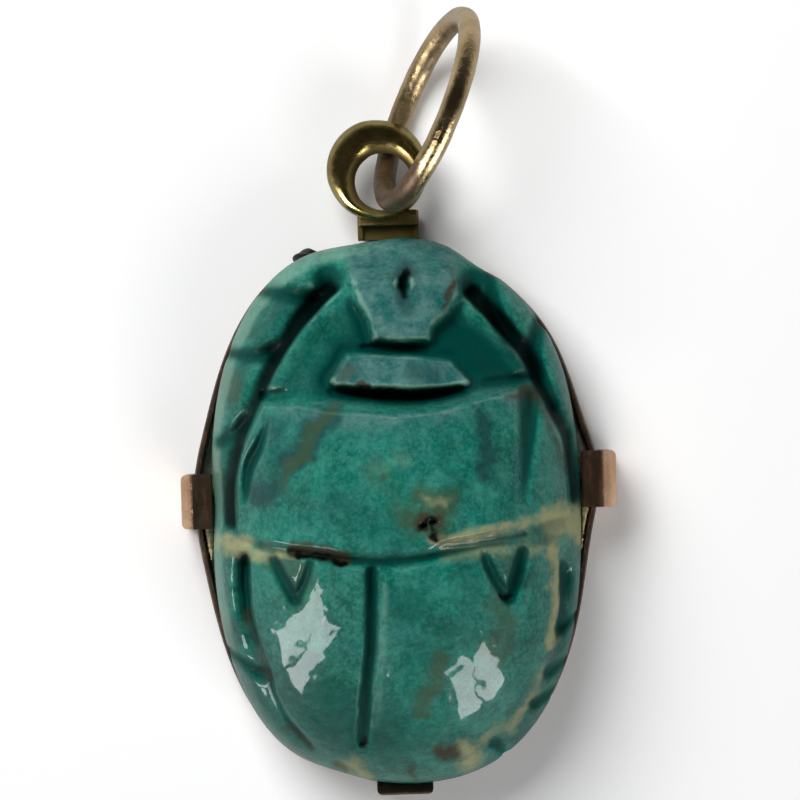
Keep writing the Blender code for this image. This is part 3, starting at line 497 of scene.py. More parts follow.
class Graph:
    """A node tree under construction, with short calls for the usual nodes."""

    def __init__(self, tree: bpy.types.NodeTree) -> None:
        """Keep the tree that the nodes go into."""
        self.tree = tree

    def add(self, kind: str, inputs: dict | None = None, **settings) -> bpy.types.Node:
        """Add a node, set its properties, and feed its inputs by name or number.

        Args:
            kind: the node's type.
            inputs: links or values by name or number.
            settings: the node's properties.

        Returns:
            The node.
        """
        node = self.tree.nodes.new(kind)
        for name, value in settings.items():
            setattr(node, name, value)
        for socket, value in (inputs or {}).items():
            self.feed(node.inputs[socket], value)
        return node

    def feed(self, socket: bpy.types.NodeSocket, value: object) -> None:
        """Link a socket to another one, or set its value."""
        if isinstance(value, bpy.types.NodeSocket):
            self.tree.links.new(value, socket)
        else:
            socket.default_value = value

    def math(self, operation: str, first: object, second: object = 0.0) -> bpy.types.NodeSocket:
        """A sum, product or other operation on two values."""
        return self.add("ShaderNodeMath", {0: first, 1: second}, operation=operation).outputs[0]

    def part(self, value: object, amount: object) -> bpy.types.NodeSocket:
        """A value at part strength."""
        return self.math('MULTIPLY', value, amount)

    def step(self, low: float, high: float, value: object) -> bpy.types.NodeSocket:
        """A smooth rise from 0 at low to 1 at high."""
        return self.add("ShaderNodeMapRange", {"Value": value, "From Min": low, "From Max": high},
                        interpolation_type='SMOOTHSTEP').outputs["Result"]

    def mix(self, share: object, first: object, second: object) -> bpy.types.NodeSocket:
        """A mix of two colours."""
        node = self.add("ShaderNodeMix", {0: share}, data_type='RGBA')
        self.feed(node.inputs[6], first)
        self.feed(node.inputs[7], second)
        return node.outputs[2]

    def noise(self, vector: object, scale: float, detail: float = 3.0,
              roughness: float = 0.55) -> bpy.types.NodeSocket:
        """Noise in space, from 0 to 1."""
        return self.add("ShaderNodeTexNoise", {"Vector": vector, "Scale": scale, "Detail": detail,
                                               "Roughness": roughness}).outputs["Fac"]

    def mask(self, name: str) -> bpy.types.NodeSocket:
        """A mask that the mesh carries."""
        return self.add("ShaderNodeAttribute", attribute_name=name).outputs["Fac"]

    def roughen(self, surface: bpy.types.NodeSocket, scale: float, level: float,
                amount: object) -> bpy.types.NodeSocket:
        """Move a surface along its normals by noise.

        Args:
            surface: the geometry.
            scale: the noise's scale.
            level: the noise value that leaves the surface where it is.
            amount: how far a change of 1 in the noise moves it.

        Returns:
            The moved geometry.
        """
        noise = self.noise(self.add("GeometryNodeInputPosition").outputs[0], scale, 3.0, 0.5)
        height = self.part(self.math('SUBTRACT', noise, level), amount)
        normal = self.add("GeometryNodeInputNormal").outputs[0]
        offset = self.add("ShaderNodeVectorMath", {0: normal, "Scale": height}, operation='SCALE')
        return self.add("GeometryNodeSetPosition",
                        {"Geometry": surface, "Offset": offset.outputs[0]}).outputs[0]


def srgb(red: int, green: int, blue: int) -> tuple[float, float, float, float]:
    """A linear colour from its screen values of 0 to 255."""
    def linear(value: int) -> float:
        """One channel as linear light."""
        share = value / 255
        return share / 12.92 if share <= 0.04045 else ((share + 0.055) / 1.055) ** 2.4
    return linear(red), linear(green), linear(blue), 1.0


def grey(value: float) -> tuple[float, float, float, float]:
    """A linear grey."""
    return value, value, value, 1.0


def new_group(name: str, inputs: dict[str, str], outputs: dict[str, str],
              kind: str = 'ShaderNodeTree') -> tuple[Graph, dict, dict]:
    """Start a node group.

    Args:
        name: the group's name.
        inputs: socket types by input name.
        outputs: socket types by output name.
        kind: the type of its tree.

    Returns:
        The graph, its inputs by name, and its outputs by name.
    """
    tree = bpy.data.node_groups.new(name, kind)
    for direction, sockets in (('INPUT', inputs), ('OUTPUT', outputs)):
        for label, socket_type in sockets.items():
            tree.interface.new_socket(label, in_out=direction, socket_type=socket_type)
    graph = Graph(tree)
    source = graph.add("NodeGroupInput").outputs
    sink = graph.add("NodeGroupOutput").inputs
    return graph, {label: source[label] for label in inputs}, {label: sink[label] for label in outputs}


class Effects:
    """Shader groups that more than one finish uses."""

    def __init__(self) -> None:
        """Build each group once."""
        self.mottle = self.build_mottle()
        self.scratches = self.build_scratches()
        self.grime = self.build_tarnish_and_shade()

    def build_mottle(self) -> bpy.types.NodeTree:
        """Patches and specks of uneven tone."""
        graph, given, result = new_group(
            "mottle", {"Vector": 'NodeSocketVector', "Patch Scale": 'NodeSocketFloat',
                       "Speck Scale": 'NodeSocketFloat'},
            {"Patches": 'NodeSocketFloat', "Specks": 'NodeSocketFloat'})
        patches = graph.noise(given["Vector"], given["Patch Scale"], 4.0, 0.6)
        specks = graph.noise(given["Vector"], given["Speck Scale"], 5.0, 0.7)
        graph.feed(result["Patches"], graph.step(0.34, 0.66, patches))
        graph.feed(result["Specks"], graph.step(0.40, 0.66, specks))
        return graph.tree

    def build_scratches(self) -> bpy.types.NodeTree:
        """Fine crossing scratches and shallow dents in polished metal."""
        graph, given, result = new_group(
            "scratches", {"Vector": 'NodeSocketVector', "Scale": 'NodeSocketFloat'},
            {"Height": 'NodeSocketFloat', "Lines": 'NodeSocketFloat'})
        lines = None
        for turn, stretch in ((0.5, (1.0, 0.04, 1.0)), (2.0, (0.05, 1.0, 1.0))):
            turned = graph.add("ShaderNodeMapping", {"Vector": given["Vector"],
                                                     "Rotation": (0.3, 0.2, turn), "Scale": stretch})
            line = graph.step(0.60, 0.70, graph.noise(turned.outputs[0], given["Scale"], 2.0, 0.6))
            lines = line if lines is None else graph.math('MAXIMUM', lines, line)
        dents = graph.noise(given["Vector"], graph.part(given["Scale"], 0.12), 2.0)
        graph.feed(result["Lines"], lines)
        graph.feed(result["Height"], graph.math('SUBTRACT', dents, graph.part(lines, 0.12)))
        return graph.tree

    def build_tarnish_and_shade(self) -> bpy.types.NodeTree:
        """Tarnish that gathers, and painted shade, where the mask says the metal is sheltered."""
        graph, given, result = new_group(
            "grime", {"Vector": 'NodeSocketVector', "Scale": 'NodeSocketFloat',
                      "Shelter": 'NodeSocketFloat'},
            {"Amount": 'NodeSocketFloat'})
        uneven = graph.noise(given["Vector"], given["Scale"], 4.0, 0.65)
        amount = graph.math('ADD', graph.part(given["Shelter"], 1.1),
                            graph.part(graph.math('SUBTRACT', uneven, 0.5), 0.9))
        graph.feed(result["Amount"], graph.step(0.25, 0.80, amount))
        return graph.tree

    def use(self, graph: Graph, group: bpy.types.NodeTree, inputs: dict) -> bpy.types.Node:
        """Place a group in a material with its own values."""
        node = graph.add("ShaderNodeGroup", node_tree=group)
        for name, value in inputs.items():
            graph.feed(node.inputs[name], value)
        return node


def new_material(name: str) -> tuple[bpy.types.Material, Graph, bpy.types.Node, bpy.types.NodeSocket]:
    """Start a material.

    Args:
        name: the material's name.

    Returns:
        The material, its graph, its Principled shader and the object coordinates.
    """
    material = bpy.data.materials.new(name)
    material.use_nodes = True
    graph = Graph(material.node_tree)
    place = graph.add("ShaderNodeTexCoord").outputs["Object"]
    return material, graph, material.node_tree.nodes["Principled BSDF"], place


@dataclass(frozen=True)
class GlazedStone:
    """Turquoise green glaze over a pale stone, worn off the ridges and stained, with painted shade in its
    hollows and painted shadow in its grooves and pits.
    """

    effects: Effects
    deep: tuple = srgb(0, 78, 66)
    middle: tuple = srgb(6, 116, 100)
    light: tuple = srgb(70, 150, 132)
    shade: tuple = srgb(0, 66, 58)
    veil: tuple = srgb(40, 98, 98)
    pale_low: tuple = srgb(14, 78, 80)
    pale_high: tuple = srgb(88, 126, 122)
    worn: tuple = srgb(134, 174, 154)
    cream: tuple = srgb(156, 154, 112)
    # Painted shade, with glaze pooled in the hollows.
    dark: tuple = srgb(0, 60, 54)
    # Painted shadow in the deep grooves, the leg troughs and the crevices.
    black: tuple = srgb(0, 10, 8)
    brown: tuple = srgb(60, 44, 22)
    slate: tuple = srgb(24, 60, 60)
    olive: tuple = srgb(58, 78, 56)
    coat: float = 0.5
    coat_roughness: float = 0.06

    def build(self) -> bpy.types.Material:
        """Build the material."""
        material, graph, shader, place = new_material("glazed stone")
        broad = self.effects.use(graph, self.effects.mottle,
                                 {"Vector": place, "Patch Scale": 460.0, "Speck Scale": 1400.0})
        fine = self.effects.use(graph, self.effects.mottle,
                                {"Vector": place, "Patch Scale": 3000.0, "Speck Scale": 7000.0})
        blotch, cloud = broad.outputs["Patches"], broad.outputs["Specks"]
        grain, dust = fine.outputs["Patches"], fine.outputs["Specks"]
        ragged_noise = graph.noise(place, 1150.0, 6.0, 0.72)
        bluish = graph.step(0.44, 0.62, graph.noise(place, 620.0, 4.0, 0.62))
        shade = graph.step(0.50, 0.66, graph.noise(place, 850.0, 5.0, 0.68))
        part = graph.part

        def ragged(name: str, strength: float = 1.0) -> bpy.types.NodeSocket:
            """A mask from the mesh with its border broken up by noise."""
            uneven = graph.math('ADD', part(graph.math('SUBTRACT', ragged_noise, 0.5), 2.6), 1.0)
            broken = graph.math('MULTIPLY', graph.mask(name), uneven)
            return part(graph.step(0.08, 0.92, broken), strength)

        colour = graph.mix(blotch, self.deep, self.middle)
        pale = graph.mix(graph.step(0.36, 0.62, ragged_noise), self.pale_low, self.pale_high)
        pale = graph.mix(part(grain, 0.40), pale, self.pale_low)
        pale = graph.mix(part(dust, 0.25), pale, self.pale_high)
        for amount, tint in ((part(cloud, 0.50), self.light),
                             (part(bluish, 0.45), self.veil),
                             (part(shade, 0.55), self.shade),
                             (part(grain, 0.42), self.deep),
                             (part(dust, 0.34), self.light),
                             (ragged(Tone.DEEP.value, 0.72), graph.mix(grain, self.deep, self.shade)),
                             (ragged("pale", 0.85), pale),
                             (ragged(Tone.SLATE.value, 0.80), self.slate),
                             (ragged(Tone.OLIVE.value, 0.70), self.olive),
                             (ragged(Tone.CREAM.value, 0.88), self.cream),
                             (ragged("worn", 0.48), self.worn),
                             (ragged("rim", 0.40), self.worn),
                             # Painted shade in the hollows, with pooled glaze.
                             (graph.mask("hollow"), self.dark),
                             (ragged(Tone.BROWN.value, 0.85), self.brown),
                             # Painted shade in the crevices, then painted shadow in the deep grooves.
                             (ragged(Tone.BLACK.value), self.black),
                             (graph.mask("deepest"), self.black)):
            colour = graph.mix(amount, colour, tint)
        graph.feed(shader.inputs["Base Color"], colour)

        dull = part(graph.mask("pale"), 0.7)
        for name in (Tone.CREAM.value, "hollow", "matt", Tone.BROWN.value):
            dull = graph.math('MAXIMUM', dull, graph.mask(name))
        rough = graph.math('ADD', part(dull, 0.25), part(ragged_noise, 0.30))
        graph.feed(shader.inputs["Roughness"], graph.math('ADD', rough, 0.30))
        shader.inputs["Specular IOR Level"].default_value = 0.08
        glaze = graph.math('SUBTRACT', self.coat, part(dull, 0.93 * self.coat))
        graph.feed(shader.inputs["Coat Weight"], glaze)
        shader.inputs["Coat Roughness"].default_value = self.coat_roughness
        dimples = graph.noise(place, 1300.0, 2.0, 0.5)
        uneven = part(graph.math('ADD', dimples, ragged_noise), 0.5)
        height = graph.math('ADD', part(grain, 0.35), uneven)
        bump = graph.add("ShaderNodeBump", {"Height": height, "Strength": 0.55, "Distance": 0.06 * MM})
        graph.feed(shader.inputs["Normal"], bump.outputs["Normal"])
        return material


@dataclass(frozen=True)
class Gold:
    """Old gold: scratched, and tarnished with painted shade where it is sheltered."""

    effects: Effects
    name: str
    clean: tuple
    warm: tuple
    tarnish_and_shade_colour: tuple
    roughness: float
    scratch_scale: float = 2600.0
    tarnish_and_shade_share: float = 0.8
    pitting: float = 0.15
    streaks: tuple = srgb(104, 68, 42)
    soot: tuple = srgb(13, 12, 12)

    def build(self) -> bpy.types.Material:
        """Build the material."""
        material, graph, shader, place = new_material(self.name)
        mottle = self.effects.use(graph, self.effects.mottle,
                                  {"Vector": place, "Patch Scale": 900.0, "Speck Scale": 5200.0})
        scratches = self.effects.use(graph, self.effects.scratches,
                                     {"Vector": place, "Scale": self.scratch_scale})
        # Painted shade: the shelter mask darkens sheltered parts towards the tarnished colour, on top of
        # uneven tarnishing from noise.
        grime = self.effects.use(graph, self.effects.grime,
                                 {"Vector": place, "Scale": 1700.0, "Shelter": graph.mask("shelter")})
        part, specks = graph.part, mottle.outputs["Specks"]
        colour = graph.mix(mottle.outputs["Patches"], self.clean, self.warm)
        tarnish_and_shade_amount = part(grime.outputs["Amount"], self.tarnish_and_shade_share)
        drawn = graph.add("ShaderNodeMapping", {"Vector": place, "Scale": (1.0, 0.3, 1.0)}).outputs[0]
        streak = graph.step(0.46, 0.68, graph.noise(drawn, 3400.0, 4.0, 0.65))
        tarnish_and_shade_tone = graph.mix(part(streak, 0.6), self.tarnish_and_shade_colour, self.streaks)
        colour = graph.mix(tarnish_and_shade_amount, colour, tarnish_and_shade_tone)
        solder = graph.mask("solder")
        graph.feed(shader.inputs["Base Color"], graph.mix(solder, colour, self.soot))
        tarnish_and_shade_amount = graph.math('MAXIMUM', tarnish_and_shade_amount, solder)
        graph.feed(shader.inputs["Metallic"], graph.math('SUBTRACT', 1.0, part(tarnish_and_shade_amount, 0.6)))
        rough = graph.math('ADD', part(specks, 0.10), part(tarnish_and_shade_amount, 0.25))
        rough = graph.math('ADD', rough, part(scratches.outputs["Lines"], 0.08))
        graph.feed(shader.inputs["Roughness"], graph.math('ADD', rough, self.roughness))
        height = graph.math('ADD', scratches.outputs["Height"], part(specks, self.pitting))
        bump = graph.add("ShaderNodeBump", {"Height": height, "Strength": 0.35, "Distance": 0.04 * MM})
        graph.feed(shader.inputs["Normal"], bump.outputs["Normal"])
        return material


@dataclass(frozen=True)
class Bedding:
    """Matt, crumbly cream cement."""

    effects: Effects
    pale: tuple = srgb(228, 218, 172)
    amber: tuple = srgb(190, 164, 106)
    dark: tuple = srgb(92, 78, 44)

    def build(self) -> bpy.types.Material:
        """Build the material."""
        material, graph, shader, place = new_material("bedding cement")
        mottle = self.effects.use(graph, self.effects.mottle,
                                  {"Vector": place, "Patch Scale": 1800.0, "Speck Scale": 6000.0})
        colour = graph.mix(mottle.outputs["Patches"], self.pale, self.amber)
        colour = graph.mix(graph.part(mottle.outputs["Specks"], 0.38), colour, self.dark)
        graph.feed(shader.inputs["Base Color"], colour)
        shader.inputs["Roughness"].default_value = 0.85
        bump = graph.add("ShaderNodeBump", {"Height": mottle.outputs["Specks"], "Strength": 0.6,
                                            "Distance": 0.05 * MM})
        graph.feed(shader.inputs["Normal"], bump.outputs["Normal"])
        return material


@dataclass
class Scarab:
    """The carved scarab; the relief follows the solid's, with the hand-cut unevenness added.

    The sizes from cheek_drop on belong to the carving, and are thousandths of the length where
    they aren't shares.
    """

    length: float = 18.1 * MM
    width: float = 12.2 * MM
    height: float = 7.4 * MM
    squareness: float = 2.5
    plate_height: float = 1.45 * MM
    plate_inset_side: float = 0.20 * MM
    plate_inset_end: float = 0.36 * MM
    plate_chamfer: float = 0.30 * MM
    leg_rise: float = 0.30 * MM
    rim_rise: float = 0.55 * MM
    dome_flatness: float = 2.4
    dome_rounding: float = 0.6
    columns: int = 520
    base_rows: int = 18
    plate_rows: int = 7
    leg_rows: int = 12
    back_rows: int = 148
    cheek_drop: float = 52
    cheek_reach: float = 50
    head_lift: float = 30
    bar_lift: float = 22
    head_fall: float = 38
    edge_width: float = 6
    head_edge_width: float = 10
    moat: tuple = (9, 9, 10)
    trough: tuple = (17, 12, 12)
    leg_ledge: tuple = (48, 60, 0.45, 0.2)
    channel_ledge: tuple = (34, 42, 0.72, 0.7)
    ledge_end: float = 0.05
    waist_drop: float = 11
    seam_ridge: tuple = (5, 24, 16)
    rim_fade: int = 24
    wander: float = 2.2
    unevenness: float = 0.6
    side_notch: float = 0.35
    border: tuple = (0.90, 0.030)
    base_bars: tuple = (-0.42, 0.42)
    base_line_depth: float = 8

    @property
    def rim_height(self) -> float:
        """Height of the edge where the back meets the side."""
        return self.plate_height + self.leg_rise + self.rim_rise

    @property
    def unit(self) -> float:
        """A thousandth of the length, the measure of the carving."""
        return self.length / 1000

    @property
    def ledges(self) -> tuple[tuple, ...]:
        """Edge, side and ledge of the legs, then of the channels beside the wing cases."""
        return ((BODY_EDGE_LEFT, Side.LEFT, self.leg_ledge),
                (BODY_EDGE_RIGHT, Side.RIGHT, self.leg_ledge),
                (WING_EDGE_LEFT, Side.LEFT, self.channel_ledge),
                (WING_EDGE_RIGHT, Side.RIGHT, self.channel_ledge))

    def path(self, points: Points, steps: int = 8) -> np.ndarray:
        """Sample a Catmull-Rom curve through points given as shares of the half sizes."""
        knots = [np.array((u * self.width / 2, v * self.length / 2)) for u, v in points]
        knots = [2 * knots[0] - knots[1]] + knots + [2 * knots[-1] - knots[-2]]
        path = []
        for before, start, end, after in zip(knots, knots[1:], knots[2:], knots[3:]):
            for step in range(steps):
                t = step / steps
                path.append(0.5 * (2 * start + (end - before) * t
                                   + (2 * before - 5 * start + 4 * end - after) * t ** 2
                                   + (3 * start - before - 3 * end + after) * t ** 3))
        path.append(knots[-2])
        return np.array(path)

    def polygon(self, points: Points) -> np.ndarray:
        """A closed outline with straight sides through points given as shares."""
        return np.array([(u * self.width / 2, v * self.length / 2) for u, v in points])

    def outline_radius(self, angle: np.ndarray) -> np.ndarray:
        """Radius seen from above, at an angle from +X."""
        power = self.squareness
        radius = (np.abs(np.cos(angle) / (self.width / 2)) ** power
                  + np.abs(np.sin(angle) / (self.length / 2)) ** power) ** (-1 / power)
        for middle, half_angle, depth in OUTLINE_FLATS:
            turn = np.degrees(angle - math.radians(middle) + math.pi) % 360 - 180
            radius = radius - depth * self.unit * np.exp(-(turn / half_angle) ** 2)
        return radius

    def plate_radius(self, angle: np.ndarray) -> np.ndarray:
        """Radius of the plate that the collar grips."""
        end = np.abs(np.sin(angle)) ** 4
        inset = self.plate_inset_side + (self.plate_inset_end - self.plate_inset_side) * end
        return self.outline_radius(angle) - inset

    def line_depth(self, x: np.ndarray, y: np.ndarray) -> np.ndarray:
        """Depth of all the carved lines and hollows together.

        Args:
            x, y: places in metres.

        Returns:
            The depth at each place.
        """
        depth = np.zeros(x.shape)
        for line in CARVED_LINES:
            path = self.path(line.points)
            near = self.near(x, y, path, line.width * self.unit)
            if not near.any():
                continue
            distance, share = distance_to_path(x[near], y[near], path)
            strength = line.start + (line.end - line.start) * share
            strength = strength + line.swell * 4 * share * (1 - share)
            half_width = line.width * self.unit * (0.4 + 0.6 * strength)
            inward = np.clip(1 - np.abs(distance) / half_width, 0, 1)
            profile = (1 - line.crease) * smoothstep(0.0, 1.0, inward) + line.crease * inward ** 2
            depth[near] = np.maximum(depth[near], line.depth * self.unit * strength * profile)
        for u, v, half_width, half_length, deep in HOLLOWS:
            across = (x - u * self.width / 2) / (half_width * self.unit)
            along = (y - v * self.length / 2) / (half_length * self.unit)
            profile = smoothstep(0.0, 1.0, 1 - np.hypot(across, along))
            depth = np.maximum(depth, deep * self.unit * profile)
        return depth

    def near(self, x: np.ndarray, y: np.ndarray, path: np.ndarray, reach: float) -> np.ndarray:
        """Which places lie within reach of a path's box."""
        low, high = path.min(axis=0) - reach, path.max(axis=0) + reach
        return (x > low[0]) & (x < high[0]) & (y > low[1]) & (y < high[1])

    def ledge_depth(self, x: np.ndarray, y: np.ndarray, points: Points, side: Side,
                    ledge: tuple) -> np.ndarray:
        """Depth of a wall that drops outside a path and rises again gently beyond it.

        Args:
            x, y: places in metres.
            points: the path, as shares of the half sizes.
            side: which side drops.
            ledge: drop and reach, and how much it fades and how uneven it is.

        Returns:
            The depth at each place.
        """
        drop, reach, fade, uneven = ledge
        edge = self.edge_width * self.unit
        path = self.path(points)
        near = self.near(x, y, path, reach * self.unit)
        distance, along = distance_to_path(x[near], y[near], path)
        outside = distance * side.value
        wall = smoothstep(-edge, edge, outside)
        away = np.clip((outside - edge) / (reach * self.unit - edge), 0.0, 1.0)
        slope = 0.25 * (1 - smoothstep(0.0, 1.0, away)) + 0.75 * (1 - away) ** 1.6
        middle, half_width, deep = self.trough
        trough = deep * np.exp(-((outside / self.unit - middle) / half_width) ** 2)
        ends = smoothstep(0.0, self.ledge_end, along) * smoothstep(1.0, 1 - self.ledge_end, along)
        depth = np.zeros(x.shape)
        patchy = 1 + uneven * np.clip(value_noise(x[near], y[near], 42 * self.unit, 41), -0.9, 0.35)
        kept = 1 - fade * smoothstep(0.12, 0.62, along)
        depth[near] = (drop * wall * slope + trough) * self.unit * ends * kept * patchy
        return depth

    def cheek_outline(self) -> np.ndarray:
        """The field in front of the thorax, in which the head and the bar stand."""
        return np.vstack((self.path(BODY_EDGE_LEFT[:5]), self.path(THORAX_FRONT),
                          self.path(BODY_EDGE_RIGHT[:5])[::-1]))

    def plain_height(self, y: np.ndarray, share: np.ndarray) -> np.ndarray:
        """Height of the dome before it is carved, falling towards the head.

        Args:
            y: places along the length in metres.
            share: share of the outline's radius.

        Returns:
            The height at each place.
        """
        dome = np.clip(1 - share ** self.dome_flatness, 0.0, 1.0) ** self.dome_rounding
        fall = self.head_fall * self.unit * smoothstep(0.2, 0.8, y / (self.length / 2))
        return (self.rim_height + (self.height - self.rim_height) * dome
                - fall * (1 - share ** self.rim_fade))

    def back_height(self, x: np.ndarray, y: np.ndarray, share: np.ndarray) -> np.ndarray:
        """Height of the carved back.

        Args:
            x, y: places in metres.
            share: how far out each place is, as a share of the outline's radius.

        Returns:
            The height at each place.
        """
        unit = self.unit
        edge = self.edge_width * unit
        wander = self.wander * unit
        x = x + wander * value_noise(x, y, 55 * unit, 3) + 0.5 * wander * value_noise(x, y, 17 * unit, 5)
        y = y + wander * value_noise(x, y, 55 * unit, 4) + 0.5 * wander * value_noise(x, y, 17 * unit, 6)
        v = y / (self.length / 2)
        inner = 1 - share ** self.rim_fade
        height = self.plain_height(y, share)
        for ledge in self.ledges:
            height = height - self.ledge_depth(x, y, *ledge) * inner

        depth_inside = distance_inside(x, y, self.cheek_outline())
        sunk = 0.45 * smoothstep(-edge, edge, depth_inside)
        sunk = sunk + 0.55 * smoothstep(0.0, self.cheek_reach * unit, depth_inside)
        front = smoothstep(0.80, 0.60, v)
        height = height - self.cheek_drop * unit * sunk * (0.35 + 0.65 * front)
        soft_edge = self.head_edge_width * unit
        in_head = distance_inside(x, y, self.polygon(HEAD_PLATE))
        in_bar = distance_inside(x, y, self.polygon(BROW_BAR))
        head = smoothstep(-soft_edge, soft_edge, in_head)
        height = height + self.head_lift * unit * head * smoothstep(1.0, 0.75, v)
        height = height + self.bar_lift * unit * smoothstep(-edge, edge, in_bar)
        offset, width, depth = self.moat
        around = np.exp(-((np.maximum(in_head, in_bar) / unit + offset) / width) ** 2)
        height = height - depth * unit * around * sunk * smoothstep(0.95, 0.8, v)

        waist = np.vstack((self.path(THORAX_BACK), self.path(WINGS_FRONT)[::-1]))
        height = height - self.waist_drop * unit * smoothstep(-edge, edge, distance_inside(x, y, waist))
        lift, shift, width = self.seam_ridge
        distance, along = distance_to_path(x, y, self.path(WING_SEAM))
        beside = (distance - shift * unit) / (width * unit)
        within = smoothstep(0.0, 0.12, along) * smoothstep(1.0, 0.85, along)
        height = height + lift * unit * np.exp(-beside ** 2) * within
        height = height - self.line_depth(x, y) * (0.4 + 0.6 * inner)
        rough = 1.1 * value_noise(x, y, 34 * unit, 11) + 0.7 * value_noise(x, y, 13 * unit, 12)
        height = height + self.unevenness * unit * rough * inner
        return np.maximum(height, 0.97 * self.rim_height)

    def base_depth(self, x: np.ndarray, y: np.ndarray, share: np.ndarray) -> np.ndarray:
        """Depth of the plain border and lines cut into the underside.

        Args:
            x, y: places in metres.
            share: share of the foot's radius.

        Returns:
            The depth at each place.
        """
        unit = self.unit
        place, width = self.border
        line = smoothstep(width, 0.0, np.abs(share - place))
        for v in self.base_bars:
            bar = smoothstep(7 * unit, 0.0, np.abs(y - v * self.length / 2))
            line = np.maximum(line, bar * (share < place))
        return self.base_line_depth * unit * line

    def rows(self) -> list[np.ndarray]:
        """Rows of points from the middle of the base, up the side and over the back."""
        angles = np.arange(self.columns) * 2 * math.pi / self.columns
        radius, plate = self.outline_radius(angles), self.plate_radius(angles)
        cos, sin = np.cos(angles), np.sin(angles)
        rows = []

        def add(row_radius: np.ndarray, row_height: object) -> None:
            """Add one row of points."""
            rows.append(np.column_stack((row_radius * cos, row_radius * sin,
                                         row_height * np.ones(self.columns))))

        foot = plate - self.plate_chamfer
        for step in range(1, self.base_rows + 1):
            share = step / self.base_rows
            depth = self.base_depth(share * foot * cos, share * foot * sin, np.full(self.columns, share))
            add(share * foot, depth)
        for step in range(1, self.plate_rows + 1):
            share = step / self.plate_rows
            rise = self.plate_height * share
            add(plate - self.plate_chamfer * (1 - min(1.0, rise / self.plate_chamfer)), rise)
        notch = self.line_depth(radius * cos, radius * sin) * self.side_notch
        for step in range(1, self.leg_rows + 1):
            rise = step / self.leg_rows
            swell = math.sin(rise * math.pi / 2)
            add(plate + (radius - plate) * swell - notch * rise, self.plate_height + self.leg_rise * rise)
        add(radius - notch, (self.plate_height + self.leg_rise + self.rim_height) / 2)
        steps = np.arange(self.back_rows)[:, None] / self.back_rows
        share = 0.45 * np.cos(steps * math.pi / 2) + 0.55 * (1 - steps)
        x, y = share * radius * cos, share * radius * sin
        height = self.soften(self.back_height(x, y, np.broadcast_to(share, x.shape)))
        pull = notch * share ** 20
        rows.extend(np.stack((x - pull * cos, y - pull * sin, height), axis=2))
        return rows

    def soften(self, height: np.ndarray) -> np.ndarray:
        """Take the grid's own steps off the relief, as polishing did."""
        padded = np.concatenate((height[:1], height, height[-1:]))
        height = (padded[:-2] + 2 * height + padded[2:]) / 4
        return (np.roll(height, 1, axis=1) + 2 * height + np.roll(height, -1, axis=1)) / 4

    def relief_masks(self, grid: np.ndarray) -> dict[str, np.ndarray]:
        """Masks that follow from the relief: its worn edges, the painted shade and pooled glaze of its
        hollows, the painted shadow of its deep grooves, and where it is matt.

        Args:
            grid: the grid of points, as rows, columns and coordinates.

        Returns:
            The masks by name, each as rows and columns.
        """
        unit = self.unit
        fine = averaged(grid, 4)
        wide = averaged(fine, 10)
        across = np.roll(wide, -1, axis=1) - np.roll(wide, 1, axis=1)
        padded = np.concatenate((wide[:1], wide, wide[-1:]))
        normal = np.cross(across, padded[2:] - padded[:-2])
        normal /= np.maximum(np.linalg.norm(normal, axis=2, keepdims=True), 1e-12)
        bulge = np.sum((grid - fine) * normal, axis=2) / unit
        sunk = (averaged(wide, 90, 2) - grid)[..., 2] / unit

        x, y, z = grid[..., 0], grid[..., 1], grid[..., 2]
        u, v = x / (self.width / 2), y / (self.length / 2)
        share = np.clip(np.hypot(x, y) / self.outline_radius(np.arctan2(y, x)), 0.0, 1.0)
        carved = (self.plain_height(y, share) - z) / unit
        lines = self.line_depth(x, y) / unit
        left_legs, right_legs = (self.ledge_depth(x, y, *ledge) for ledge in self.ledges[:2])
        troughs = np.maximum(left_legs, right_legs) / unit
        plates = np.maximum(distance_inside(x, y, self.polygon(HEAD_PLATE)),
                            distance_inside(x, y, self.polygon(BROW_BAR)))
        # Painted shade, with pooled glaze, where the back is carved below its plain dome, in sunken places
        # and in carved lines.
        hollow = smoothstep(10.0, 46.0, carved) * smoothstep(4 * unit, -8 * unit, plates)
        hollow = np.maximum(hollow, 0.9 * smoothstep(0.5, 11.0, sunk))
        hollow = np.maximum(hollow, 0.9 * smoothstep(0.5, 13.0, lines))
        open_cheek = smoothstep(12 * unit, 55 * unit, -plates) * smoothstep(0.1, -0.3, u)
        open_cheek = open_cheek * smoothstep(0.0, 10 * unit, distance_inside(x, y, self.cheek_outline()))
        wet = smoothstep(-0.74, -0.80, u) * smoothstep(-0.42, -0.36, v) * smoothstep(-0.08, -0.14, v)
        seam, along = distance_to_path(x, y, self.path(WING_SEAM))
        matt = np.maximum(smoothstep(0.2, 4.0, lines), smoothstep(6.0, 22.0, troughs))
        matt = np.maximum(matt, smoothstep(32 * unit, 20 * unit, np.abs(seam)))
        ridge = np.exp(-((seam / unit - 23) / 9) ** 2)
        ridge = ridge * smoothstep(0, 0.1, along) * smoothstep(1, 0.8, along)
        return {
            "worn": np.maximum(smoothstep(0.8, 3.6, bulge), 0.45 * ridge),
            "rim": (smoothstep(0.92, 0.97, share) * self.top_mask(z) * smoothstep(0.3, -0.6, u)
                    * (0.4 + 0.6 * smoothstep(-0.6, -0.2, v))),
            "matt": matt * (1 - 0.8 * wet) * self.top_mask(z),
            "hollow": hollow * (1 - 0.5 * open_cheek) * self.top_mask(z),
            # Painted shadow in the deep carved lines and the leg troughs.
            "deepest": np.maximum(smoothstep(17.0, 38.0, lines),
                                  0.95 * smoothstep(9.0, 34.0, troughs)) * self.top_mask(z),
            "pale": self.pale_mask(x, y) * self.top_mask(z),
        }

    def top_mask(self, z: np.ndarray) -> np.ndarray:
        """The back, as against the sides and the base."""
        return smoothstep(self.rim_height * 0.8, self.rim_height * 1.1, z)

